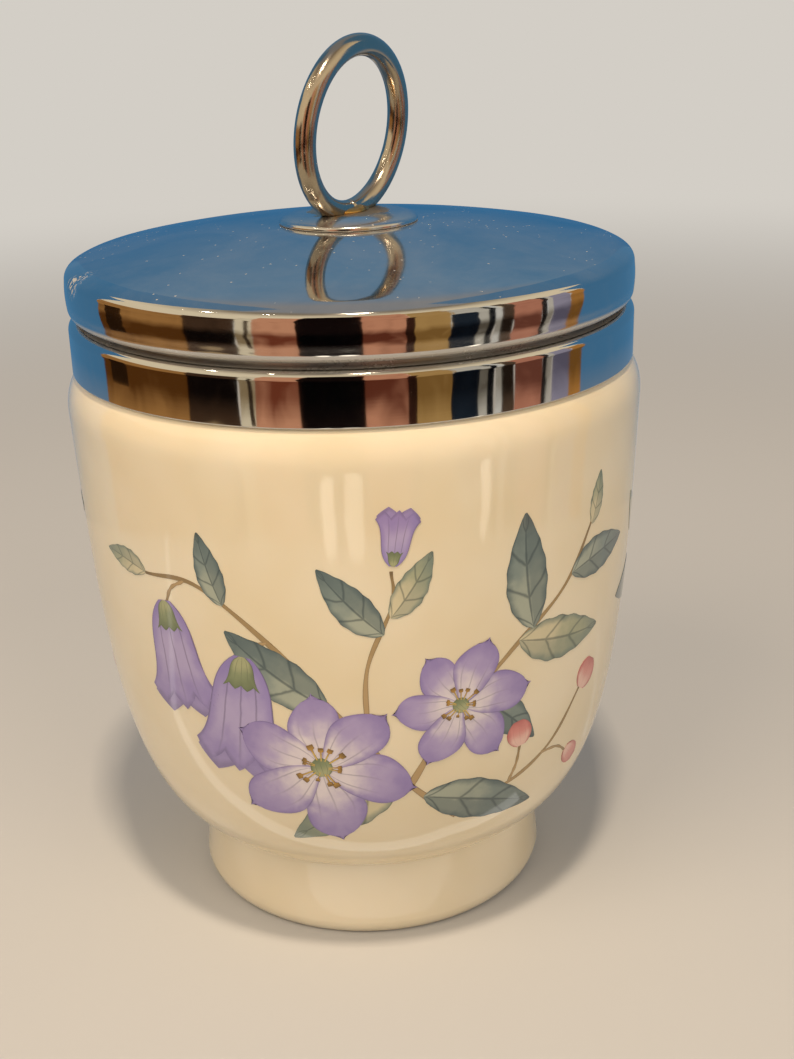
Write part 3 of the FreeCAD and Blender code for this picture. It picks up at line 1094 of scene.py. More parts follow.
@dataclass
class Collar:
    """The spun metal collar with its threaded neck. Millimetres."""

    sheet: float = 0.5
    band: float = 6.1
    edge_round: float = 1.1
    lower_edge_round: float = 0.2
    neck_radius: float = 31.55
    neck_bevel: float = 0.4
    lip_cover: float = 1.6
    thread_depth: float = 0.75
    thread_start: float = 0.86
    thread_turns: float = 1.617
    finish: ChromiumPlate = ChromiumPlate("chromium plate on the collar", groove_radius_mm=33.0)

    def __post_init__(self) -> None:
        """Take the collar's radius, bottom and top from the frame."""
        self.radius, self.bottom, self.top = size_of("collar")
        self.ledge = self.bottom + self.band

    def build(self) -> None:
        """Make the collar and put it in the frame."""
        inside = self.radius - self.sheet
        neck_inside = self.neck_radius - self.sheet
        turned_in = neck_inside - self.lip_cover
        section = Outline(inside, self.bottom + self.lower_edge_round)
        section.corner((inside, self.bottom), self.lower_edge_round, (self.radius, self.bottom))
        section.corner((self.radius, self.bottom), self.lower_edge_round, (self.radius, self.ledge))
        section.corner((self.radius, self.ledge), self.edge_round, (0, self.ledge))
        section.line((self.neck_radius, self.ledge), (self.neck_radius, self.top - self.neck_bevel))
        section.line((self.neck_radius - self.neck_bevel, self.top))
        section.corner((turned_in, self.top), self.sheet / 2, (turned_in, self.top - self.sheet))
        section.line((turned_in, self.top - self.sheet), (neck_inside, self.top - self.sheet),
                     (neck_inside, self.ledge - self.sheet), (inside, self.ledge - self.sheet))
        collar = section.spun("screw_collar")
        ThreadRidge(self.neck_radius, self.neck_radius + self.thread_depth,
                    self.ledge + self.thread_start, 0.0,
                    self.thread_turns).wind_on(collar, self.finish)
        finish_piece(collar, self.finish, "cup", "collar_plate", "collar")


@dataclass
class LidShell:
    """The drawn lid: domed top, rounded edge, smooth skirt and rolled hem. Millimetres."""

    sheet: float = 0.5
    skirt_radius: float = 33.9
    barrel: float = 0.1
    dome_rise: float = 3.4
    edge_round: float = 1.3
    blend_round: float = 6.0
    blend_angle: float = 60.0
    hem_drop: float = 0.45
    edge_height: float = 80.874
    hem_round: float = 1.1
    hole_radius: float = 1.85
    nick_azimuth: float = 147.0
    nick_depth: float = 0.35
    nick_half_length: float = 2.4
    nick_half_height: float = 1.5
    nick_rise: float = 0.3
    nick_drop: float = 0.6
    nick_rim: float = 2.5
    finish: ChromiumPlate = ChromiumPlate("chromium plate on the lid", dust_amount=0.8)

    def __post_init__(self) -> None:
        """Take the hem's height and the dome's top from the frame."""
        _, low, self.top = size_of("lid_shell")
        self.bottom = low - self.hem_drop
        self.dome_radius = arc_radius(self.skirt_radius - self.edge_round, self.dome_rise)
        fall = self.dome_radius - math.sqrt(self.dome_radius**2 - self.hole_radius**2)
        self.dome_centre = (0.0, self.top + fall - self.dome_radius)

    def build(self) -> None:
        """Make the lid's shell and put it in the frame."""
        edge = (self.skirt_radius - self.edge_round, self.edge_height)
        edge_angle = math.degrees(math.atan2(edge[1] - self.dome_centre[1], edge[0]))
        hem_top = self.bottom + self.hem_round
        inside = self.skirt_radius - self.sheet
        inner_dome = self.dome_radius - self.sheet
        turn = math.cos(math.radians(self.blend_angle))
        reach = self.skirt_radius - self.blend_round * turn - self.edge_round * (1 - turn)
        leave = math.degrees(math.acos(reach / (self.dome_radius - self.blend_round)))
        blend = polar(self.dome_centre, self.dome_radius - self.blend_round, leave)
        section = Outline(self.hole_radius, self.top)
        section.arc(self.dome_centre, self.dome_radius, leave)
        section.arc(blend, self.blend_round, self.blend_angle)
        section.arc(polar(blend, self.blend_round - self.edge_round, self.blend_angle),
                    self.edge_round, 0)
        section.bulge((self.skirt_radius, hem_top), -self.barrel)
        section.arc((self.skirt_radius - self.hem_round, hem_top), self.hem_round, -90)
        section.line((self.skirt_radius - self.hem_round, self.bottom + self.sheet),
                     (inside, hem_top), (inside, edge[1]),
                     polar(self.dome_centre, inner_dome, edge_angle))
        section.arc(self.dome_centre, inner_dome,
                    math.degrees(math.acos(self.hole_radius / inner_dome)))
        cap = section.spun("lid_cap", 300)
        self.nick(cap.data)
        finish_piece(cap, self.finish, "lid", "lid_plate", "lid_shell")

    def nick(self, mesh: Mesh) -> None:
        """Knock a small dent into the lid's edge and mark where it is scratched.

        Args:
            mesh: The lid's mesh, which gets a nick attribute for its finish.
        """
        places = np.zeros(len(mesh.vertices) * 3)
        mesh.vertices.foreach_get("co", places)
        places = places.reshape(-1, 3) / MM
        along = np.arctan2(places[:, 1], places[:, 0]) - math.radians(self.nick_azimuth)
        across = places[:, 2] - self.edge_height - self.nick_rise
        reach = np.hypot(along * self.skirt_radius / self.nick_half_length,
                         across / self.nick_half_height)
        reach[np.hypot(places[:, 0], places[:, 1]) < self.skirt_radius - self.nick_rim] = 1.0
        share = np.clip(1 - reach, 0, 1)
        inward = -places * (1, 1, 0) / self.skirt_radius - (0, 0, self.nick_drop)
        places += inward * (self.nick_depth * share**1.5)[:, None]
        mesh.vertices.foreach_set("co", (places * MM).ravel())
        mesh.attributes.new("nick", "FLOAT", "POINT").data.foreach_set("value", share)


@dataclass
class ThreadRing:
    """The ring inside the lid's skirt that carries the female thread. Millimetres."""

    wall: float = 0.75
    bevel: float = 0.6
    thread_depth: float = 0.75
    thread_start: float = 0.86
    thread_angle: float = 14.1
    thread_turns: float = 0.726
    finish: TurnedSteel = TurnedSteel("turned steel thread ring")

    def build(self) -> None:
        """Make the ring and put it in the frame."""
        size = size_of("lid_thread_ring")
        inside = size.radius - self.wall
        section = Outline(inside, size.low)
        section.line((size.radius - self.bevel, size.low), (size.radius, size.low + self.bevel),
                     (size.radius, size.high), (inside, size.high))
        ring = section.spun("thread_ring")
        ThreadRidge(inside, inside - self.thread_depth, size.low + self.thread_start,
                    self.thread_angle, self.thread_turns).wind_on(ring, self.finish)
        finish_piece(ring, self.finish, "lid", "thread_ring_metal", "lid_thread_ring")


@dataclass
class Handle:
    """The lid's lifting ring with its boss, the stud's washer and the braze. Millimetres."""

    boss_radius: float = 8.3
    boss_top_radius: float = 6.1
    boss_flat_radius: float = 4.4
    boss_swell: float = 0.9
    boss_rim_height: float = 0.2
    boss_rim_round: float = 0.12
    stud_radius: float = 1.8
    head_radius: float = 3.2
    head_height: float = 1.0
    washer_hole: float = 1.85
    washer_round: float = 0.12
    seat_fit: float = 0.03
    stud_fit: float = 0.05
    ring_radius: float = 9.5
    wire_radius: float = 1.27
    ring_sink: float = 0.65
    ring_lean: float = 7.0
    ring_fit: float = 0.03
    seam_depth: float = 0.16
    seam_width: float = 0.3
    seam_span: float = 3.0
    seam_steps: int = 25
    ring_steps: int = 216
    wire_sides: int = 40
    braze_length: float = 3.4
    braze_width: float = 2.3
    braze_height: float = 0.75
    plate: ChromiumPlate = ChromiumPlate("chromium plate on the boss", polish=0.15,
                                         dust_amount=0.9, flash_mm=6.2)
    wire: ChromiumPlate = ChromiumPlate("chromium plate on the drawn wire", metal="#B5AB9D",
                                        polish=0.13, dull_and_painted_fill=0.0, smudge=0.1, smudge_mm=4.0,
                                        hairline_depth_mm=0.0012)
    washer: TurnedSteel = TurnedSteel("punched steel washer", roughness=0.34)
    braze: BrassBraze = BrassBraze("brazing brass at the ring's foot")

    def whole_ring(self, name: str, extra: float = 0.0, seam: float = 0.0) -> Object:
        """Bend the whole wire into an upright ring that leans about its foot towards -Y.

        Args:
            name: Name of the new object.
            extra: Clearance round the wire.
            seam: Depth of the seam at the foot, where the wire's ends meet.

        Returns:
            The ring as a closed mesh.
        """
        half = self.seam_span / 2
        near = np.linspace(-half, half, self.seam_steps) / self.ring_radius
        rest = np.linspace(near[-1], 2 * math.pi - near[-1], self.ring_steps)[1:-1]
        lean_cos, lean_sin = (f(math.radians(self.ring_lean)) for f in (math.cos, math.sin))
        points = []
        for angle in (*near, *rest):
            along = self.ring_radius * math.remainder(angle, 2 * math.pi)
            thick = self.wire_radius + extra - seam * math.exp(-(2 * along / self.seam_width)**2)
            for side in np.arange(self.wire_sides) * 2 * math.pi / self.wire_sides:
                reach, y = self.ring_radius + thick * math.cos(side), thick * math.sin(side)
                z = self.ring_radius - reach * math.cos(angle)
                points.append((reach * math.sin(angle), y * lean_cos - z * lean_sin,
                               self.top + y * lean_sin + z * lean_cos))
        faces = quads(len(near) + len(rest), self.wire_sides, True, True)
        mesh = new_mesh(name, points, faces)
        face_outwards(mesh)
        return link_object(name, mesh)

    def build(self, lid: LidShell) -> None:
        """Make boss, washer, ring and braze on a lid and put them in the frame.

        Args:
            lid: The lid that carries them.
        """
        _, _, self.top = size_of("ring_boss")
        self.build_boss(lid)
        self.build_washer()
        ring = filed_flat(self.whole_ring("lifting_ring_wire", seam=self.seam_depth),
                          self.top - self.ring_sink)
        finish_piece(ring, self.wire, "lid", "ring_wire", "lifting_ring")
        self.build_braze()

    def build_boss(self, lid: LidShell) -> None:
        """Low conical disc that fits the dome, with its shank and peened head.

        Args:
            lid: The lid whose dome it sits on.
        """
        seat = lid.dome_radius + self.seat_fit
        rim, shank = ((across, height_on(lid.dome_centre, seat, across))
                      for across in (self.boss_radius, self.stud_radius))
        edge = (self.boss_radius, rim[1] + self.boss_rim_height)
        head_top = size_of("stud_washer").low - self.stud_fit
        head_round = arc_radius(self.head_radius, self.head_height)
        section = Outline(0, self.top).line((self.boss_flat_radius, self.top))
        section.curve((self.boss_top_radius + self.boss_swell, self.top),
                      (self.boss_radius, (self.top + edge[1]) / 2), edge)
        section.corner(rim, self.boss_rim_round, shank)
        section.arc(lid.dome_centre, seat, math.degrees(math.acos(self.stud_radius / seat)))
        section.line((self.stud_radius, head_top), (self.head_radius, head_top))
        section.arc((0, head_top - self.head_height + head_round), head_round, -90)
        boss = section.spun("boss_and_stud", 160)
        cutter = filed_flat(self.whole_ring("saddle_cutter", self.ring_fit),
                            self.top - self.ring_sink - self.ring_fit)
        finish_piece(carved(boss, cutter), self.plate, "lid", "boss_plate", "ring_boss")

    def build_washer(self) -> None:
        """Punched washer between the lid and the peened head."""
        outside, low, high = size_of("stud_washer")
        section = Outline((self.washer_hole + outside) / 2, low)
        corners = ((outside, low), (outside, high), (self.washer_hole, high), (self.washer_hole, low))
        for at, towards in zip(corners, (*corners[1:], corners[0])):
            section.corner(at, self.washer_round, towards)
        finish_piece(section.spun("punched_washer", 120), self.washer, "lid_riser",
                     "washer_metal", "stud_washer")

    def build_braze(self) -> None:
        """A lumpy pool of braze round the ring's foot, with the wire cut out of it."""
        rings, steps = 22, 96
        base = self.top + self.ring_fit
        points = [(0.0, 0.0, base + self.braze_height)]
        for i in range(1, rings + 1):
            fall = i / rings * math.pi / 2
            for j in range(steps):
                turn = j / steps * 2 * math.pi
                lump = 1 + 0.07 * math.sin(3 * turn + 1.2) * math.sin(fall)**2
                lump = min(lump + 0.03 * math.sin(7 * turn + 5 * fall), 1 + 0.04 * math.cos(turn)**2)
                reach = 0.95 * lump * math.sin(fall)
                rise = math.cos(fall)**0.9 * (0.9 + 0.1 * math.sin(4 * turn))
                points.append((self.braze_length * reach * math.cos(turn),
                               self.braze_width * reach * math.sin(turn),
                               base + self.braze_height * rise))
        faces = [[0, 1 + j, 1 + (j + 1) % steps] for j in range(steps)]
        faces += [[1 + a, 1 + d, 1 + c, 1 + b]
                  for a, b, c, d in quads(rings - 1, steps, columns_meet=True)]
        faces.append(list(range(rings * steps, (rings - 1) * steps, -1)))
        mesh = new_mesh("braze_fillet", points, faces)
        smooth_by_angle(mesh, 50)
        braze = carved(link_object("braze_fillet", mesh),
                       self.whole_ring("braze_cutter", self.ring_fit / 2))
        finish_piece(braze, self.braze, "lid", "braze", "ring_braze")


# ---- Printed decoration ----


class Ink(Enum):
    """The colours of the printed decoration."""

    PETAL = PrintedColour("lilac wash on petals", "#E3DAE0", "#AFA0CB", "#8D7CB8", "#5C5372",
                          vein_count=3.5, vein_strength=0.45, vein_end=0.75)
    BELL = PrintedColour("lilac wash on bells", "#8C7DBB", "#B4A7D0", "#9383BE", "#5A5170",
                         heart_reach=0.0, wash_reach=0.6, vein_count=4.0, vein_strength=0.5,
                         vein_end=1.1)
    BELL_INSIDE = PrintedColour("deep lilac inside bells", "#5F5584", "#7A6CA6", "#A99BCB",
                                "#4A4262", vein_count=5.0, vein_strength=0.4)
    LEAF = PrintedColour("slate green wash on leaves", "#A9B0A0", "#7E8D89", "#55676A", "#35464B",
                         side_shade=0.55, vein_count=1.2, vein_slant=-7.0, vein_strength=0.65,
                         vein_end=1.3, outline=0.5)
    PALE_LEAF = PrintedColour("olive cream wash on leaves", "#D5CBA9", "#A5A98C", "#75857C",
                              "#46544F", side_shade=0.4, vein_count=1.2, vein_slant=-7.0,
                              vein_strength=0.6, vein_end=1.3, outline=0.5)
    CALYX = PrintedColour("moss green on calyces", "#A9AC83", "#8A946F", "#6B7757", "#46503F")
    BERRY = PrintedColour("coral wash on berries", "#EBC3B6", "#D99089", "#BE6A68", "#8A4A4C",
                          vein_strength=0.15)
    STEM = PrintedColour("tan line of stems", "#B79B70", "#A38A5F", "#86714E", "#6B5940",
                         vein_strength=0.0, outline=0.6)
    STAMEN = PrintedColour("ochre of stamens", "#D8B965", "#B98F42", "#6A5433", "#3F3326",
                           vein_strength=0.2)


def flat_patch(name: str, rows: int, columns: int, place: Rule) -> Mesh:
    """Make a flat patch in the transfer's sheet, with its print UV map.

    Args:
        name: Name of the mesh.
        rows: Steps along it.
        columns: Steps across it.
        place: Gives x and y in millimetres for a share along, 0 to 1, and across, -1 to 1.

    Returns:
        The mesh, facing +Z.
    """
    mesh = sheet_mesh(name, rows, columns, lambda along, across: (*place(along, across), 0.0))
    shares = grid(rows, columns)
    prints = mesh.uv_layers.new(name="print")
    for loop in mesh.loops:
        along, across = shares[loop.vertex_index]
        prints.data[loop.index].uv = (along, (across + 1) / 2)
    mesh.update()
    if mesh.polygons[len(mesh.polygons) // 2].normal.z < 0:
        mesh.flip_normals()
    return mesh


def leaf(length: float, half: float, bend: float, wave: float, along: float, across: float) -> Point:
    """Find a point of a lance-shaped leaf that grows along +Y, with a wavy margin.

    Args:
        length: Its length.
        half: Half its width.
        bend: How far it bends aside, as a share of its length.
        wave: How wavy its margin is.
        along: Share along it, 0 to 1.
        across: Share across it, -1 to 1.

    Returns:
        The point.
    """
    width = half * math.sin(math.pi * min(along, 0.999)**0.8)**0.85 + 0.12
    width *= 1 + wave * math.sin(2 * math.pi * 5.5 * along + 1.3 * (across > 0))
    return across * width + bend * length * along**2, along * length


def petal(length: float, half: float, notch: float, bend: float, along: float,
          across: float) -> Point:
    """Find a point of a petal that is widest past its middle and ends in a soft point.

    Args:
        length: Its length.
        half: Half its width.
        notch: How far its tip stands out, as a share of its length.
        bend: How far it bends aside, as a share of its length.
        along: Share along it, 0 to 1.
        across: Share across it, -1 to 1.

    Returns:
        The point.
    """
    width = half * math.sin(math.pi * min(along, 0.999)**1.35)**0.62 + 0.1
    tip = notch * length * along**3 * (0.6 - abs(across))
    return (across * width + bend * length * along**2 + 0.05 * half * math.sin(9 * along),
            along * length + tip)


def cone(length: float, mouth: float, lobes: float, shift: float, longer: float, along: float,
         across: float) -> Point:
    """Find a point of a hanging bell seen from the side, with pointed lobes at its lip.

    Args:
        length: Its length.
        mouth: Half its mouth's width.
        lobes: Number of lobes in sight.
        shift: Where the first lobe begins, in lobes.
        longer: How much further its lip hangs, as a share of its length.
        along: Share along it, 0 to 1.
        across: Share across it, -1 to 1.

    Returns:
        The point.
    """
    swell = 0.17 + 0.5 * (1 - math.exp(-5.5 * along)) + 0.33 * along**5
    part = ((across + 1) / 2 * lobes + shift) % 1
    point = (1 - abs(2 * part - 1))**0.8
    drop = along + along**4 * (0.17 * point - 0.05 * across**2) + longer * along**3
    return across * swell * mouth, -length * drop


def bead(half: float, length: float, middle: float, along: float, across: float) -> Point:
    """A point of a round berry or eye."""
    return (across * half * math.sin(math.pi * (0.04 + 0.92 * along))**0.5,
            length * (along - middle))


def stamen(along: float, across: float) -> Point:
    """A point of a thin stalk with an anther at its end."""
    return across * (0.08 + 0.26 * (along > 0.72)), 1.0 + 1.9 * along


class Kind(Enum):
    """The motifs: name, ink, height of the film in millimetres, shape and steps along and across."""

    LEAF = "leaf", Ink.LEAF, 0.045, partial(leaf, 15, 2.9, 0.12, 0.03), 26, 8
    PALE_LEAF = "pale_leaf", Ink.PALE_LEAF, 0.04, partial(leaf, 14, 2.7, -0.13, 0.04), 26, 8
    PETAL = "petal", Ink.PETAL, 0.06, partial(petal, 9.6, 2.9, 0.06, 0.05), 18, 8
    BELL_INSIDE = "bell_inside", Ink.BELL_INSIDE, 0.055, partial(cone, 13, 5.6, 2, 0.0, 0.07), 22, 24
    BELL = "bell", Ink.BELL, 0.075, partial(cone, 13, 5.8, 3, 0.0, 0.0), 24, 30
    CALYX = "calyx", Ink.CALYX, 0.095, partial(cone, 3.4, 2.1, 3, 0.5, 0.0), 8, 18
    BERRY = "berry", Ink.BERRY, 0.06, partial(bead, 1.9, 3.9, 0.0), 12, 8
    EYE = "eye", Ink.CALYX, 0.13, partial(bead, 1.15, 2.3, 0.5), 8, 8
    STAMEN = "stamen", Ink.STAMEN, 0.14, stamen, 12, 2

    def __init__(self, title: str, ink: Ink, lift: float, place: Rule, rows: int,
                 columns: int) -> None:
        """Keep the motif's parts by name."""
        self.title, self.ink, self.lift = title, ink, lift
        self.place, self.rows, self.columns = place, rows, columns


class Motif(NamedTuple):
    """One motif of a spray: across and up from its middle in millimetres, turned anticlockwise."""

    kind: Kind
    across: float
    height: float
    turn: float
    size: float = 1.0
    tint: float = 0.0
    step: float = 0.0


class Stem(NamedTuple):
    """One drawn stem: its points across and up, and its width at both ends, in millimetres."""

    points: tuple[Point, ...]
    thick: float = 0.75
    thin: float = 0.4


def blossom(across: float, height: float, turn: float, size: float,
            tint: float = 0.0) -> list[Motif]:
    """Draw an open blossom seen from the front.

    Args:
        across: Its place across the spray in millimetres.
        height: Its height on the bowl in millimetres.
        turn: Turn of its first petal in degrees.
        size: Its size.
        tint: How much deeper its wash is.

    Returns:
        Its eye, petals and stamens.
    """
    petals, stamens = 6, 13
    parts = [Motif(Kind.EYE, across, height, turn, size)]
    for i in range(petals):
        wobble = math.sin(12.9 * i + 7 * across)
        parts.append(Motif(Kind.PETAL, across, height, turn + 360 / petals * i + 6 * wobble,
                           size * (1 + 0.09 * math.sin(5.3 * i + height)),
                           tint + 0.25 * wobble, 0.009 * ((i * 2) % petals)))
    return parts + [Motif(Kind.STAMEN, across, height, 360 / stamens * i + 9 * math.sin(3.7 * i),
                          size * (0.85 + 0.2 * math.sin(8.1 * i)), 0.0, 0.002 * (i % 3))
                    for i in range(stamens)]


def bell(across: float, height: float, turn: float, size: float, tint: float = 0.0) -> list[Motif]:
    """A hanging bell on its stalk's end: inside, outside and calyx."""
    return [Motif(kind, across, height, turn, size * larger, tint)
            for kind, larger in ((Kind.BELL_INSIDE, 1.0), (Kind.BELL, 1.0), (Kind.CALYX, 1.05))]


@dataclass(frozen=True)
class Spray:
    """One group of flowers on the bowl, round an azimuth of its own.

    Each motif is given as in Motif or in the function that draws it, from its place across onwards.
    """

    title: str
    azimuth: float
    stems: tuple[Stem, ...]
    leaves: Table
    pale_leaves: Table
    berries: Table
    bells: Table
    blossoms: Table

    def motifs(self) -> list[Motif]:
        """List the motifs.

        Returns:
            Every motif of the spray, in the order of drawing.
        """
        single = ((Kind.LEAF, self.leaves), (Kind.PALE_LEAF, self.pale_leaves),
                  (Kind.BERRY, self.berries))
        drawn = [*(bell(*values) for values in self.bells),
                 *(blossom(*values) for values in self.blossoms)]
        return [*(Motif(kind, *values) for kind, places in single for values in places),
                *(part for flower in drawn for part in flower)]


def sprays() -> tuple[Spray, ...]:
    """List the groups of flowers.

    Returns:
        The main spray in front, a looser one of bells on the left and a small one on the right.
    """
    return (
        Spray("front", -145.0,
              stems=(Stem(((10, 20.5), (4, 27), (-3, 36), (-10, 44.5), (-19, 51), (-27, 51)), 0.9),
                     Stem(((4.5, 26.5), (9, 34), (17, 42), (25, 48), (30, 55)), 0.8, 0.35),
                     Stem(((7, 23.5), (15, 23), (23, 26.5), (29, 33)), 0.65, 0.35),
                     Stem(((0, 32), (0, 42), (3, 50), (3, 54)), 0.6, 0.35),
                     Stem(((-11, 45.3), (-13, 44.5), (-13.8, 42.6)), 0.4),
                     Stem(((-21, 51.3), (-23, 50), (-24, 47.7)), 0.4),
                     Stem(((17, 23.7), (18, 26), (18.5, 29)), 0.4, 0.35),
                     Stem(((22, 26), (25, 25.5), (27, 23.8)), 0.4, 0.35)),
              leaves=((6, 24.5, -105, 1.05, 0.2), (-4.5, 37.5, 60, 0.95), (12, 37.5, -128, 0.8, 0.5),
                      (20, 44, 12, 0.95, 0.2), (26, 49, -78, 0.8, 0.5), (2, 46.5, 48, 0.7, 0.3),
                      (-16, 49.2, 24, 0.58, 0.2)),
              pale_leaves=((3.5, 27.5, 120, 1.15, 0.1), (18, 43, -108, 1.0, 0.3),
                           (29.7, 54, -22, 0.45), (2.8, 48.5, -40, 0.62), (-27, 51, 75, 0.55)),
              berries=((18.6, 28.5, 8, 0.95), (27, 24.2, -140, 0.9, 0.5), (29, 32.5, -35, 1.05, 0.3)),
              bells=((-14, 43.2, -6, 1.05, 0.1), (-24.3, 48.2, 8, 0.92, 0.4),
                     (3.2, 54.6, 172, 0.42, 0.6)),
              blossoms=((-5.5, 29.5, 12, 1.1, 0.1), (10.5, 36.5, 40, 0.86, 0.5))),
        Spray("left", 95.0,
              stems=(Stem(((-8, 16), (-3, 25), (3, 36), (10, 46), (18, 52)), 0.9),
                     Stem(((-3, 25), (-11, 33), (-18, 43), (-20, 52)), 0.8, 0.35),
                     Stem(((-5, 21), (4, 21), (13, 25), (20, 31)), 0.65, 0.35),
                     Stem(((3, 36), (4.5, 35), (5, 33.5)), 0.4),
                     Stem(((12, 48), (14.5, 47), (15.5, 44.5)), 0.4)),
              leaves=((-4, 22, 105, 1.0, 0.3), (-12, 34, 82, 0.9, 0.2), (-15, 38, -22, 0.85, 0.5),
                      (6, 40, 55, 0.8, 0.4), (18, 52, -70, 0.6, 0.1)),
              pale_leaves=((-2, 27, -60, 0.8), (-19.5, 50, 20, 0.6), (12, 24.5, -118, 0.8, 0.3)),
              berries=((20, 30.5, -50), (8, 21.5, -120, 0.85, 0.5)),
              bells=((5, 34, -10, 0.95, 0.2), (15.8, 45, 6, 0.9, 0.5)),
              blossoms=((-8.5, 26.5, 30, 0.92, 0.3),)),
        Spray("right", -25.0,
              stems=(Stem(((12, 18), (4, 26), (-5, 33), (-15, 38), (-24, 47)), 0.9),
                     Stem(((2, 27.5), (5, 38), (12, 46), (13, 54)), 0.75, 0.35),
                     Stem(((-12, 36.5), (-13, 31), (-17, 26)), 0.55, 0.35)),
              leaves=((8, 22, -75, 1.0, 0.4), (-8, 34.5, 20, 0.9, 0.2), (-20, 42, 100, 0.8, 0.5),
                      (7, 41, -62, 0.8, 0.1)),
              pale_leaves=((5, 25, 140, 0.85), (-24, 47, 30, 0.6), (10, 44, 40, 0.62, 0.3)),
              berries=((-17, 26, 150), (-13.5, 30.5, -130, 0.8, 0.4)),
              bells=((13, 53.4, 176, 0.42, 0.5),),
              blossoms=((-3, 26, 5, 0.98, 0.2), (10, 33, 48, 0.7, 0.6))))


def on_stem(way: np.ndarray, share: float) -> np.ndarray:
    """Find a point on a smooth line through points.

    Args:
        way: The points, with one more beyond each end.
        share: Share along the line, 0 to 1.

    Returns:
        The point.
    """
    spans = len(way) - 3
    place = min(share * spans, spans - 1e-9)
    i, t = int(place), place % 1
    a, b, c, d = way[i:i + 4]
    return 0.5 * (2 * b + (c - a) * t + (2 * a - 5 * b + 4 * c - d) * t**2
                  + (3 * b - a - 3 * c + d) * t**3)


def ribbon(way: np.ndarray, stem: Stem, phase: float, along: float, across: float) -> Point:
    """A point of a stem's tapering ribbon.

    Args:
        way: The stem's points in the sheet, with one more beyond each end.
        stem: The stem.
        phase: Where the waver of its width begins.
        along: Share along it, 0 to 1.
        across: Share across it, -1 to 1.

    Returns:
        The point in the sheet.
    """
    ahead = on_stem(way, min(along + 0.01, 1)) - on_stem(way, max(along - 0.01, 0))
    ahead /= np.hypot(*ahead)
    half = (stem.thick + (stem.thin - stem.thick) * along) / 2
    side = across * half * (1 + 0.18 * math.sin(23 * along + phase))
    x, y = on_stem(way, along) + side * np.array([ahead[1], -ahead[0]])
    return float(x), float(y)


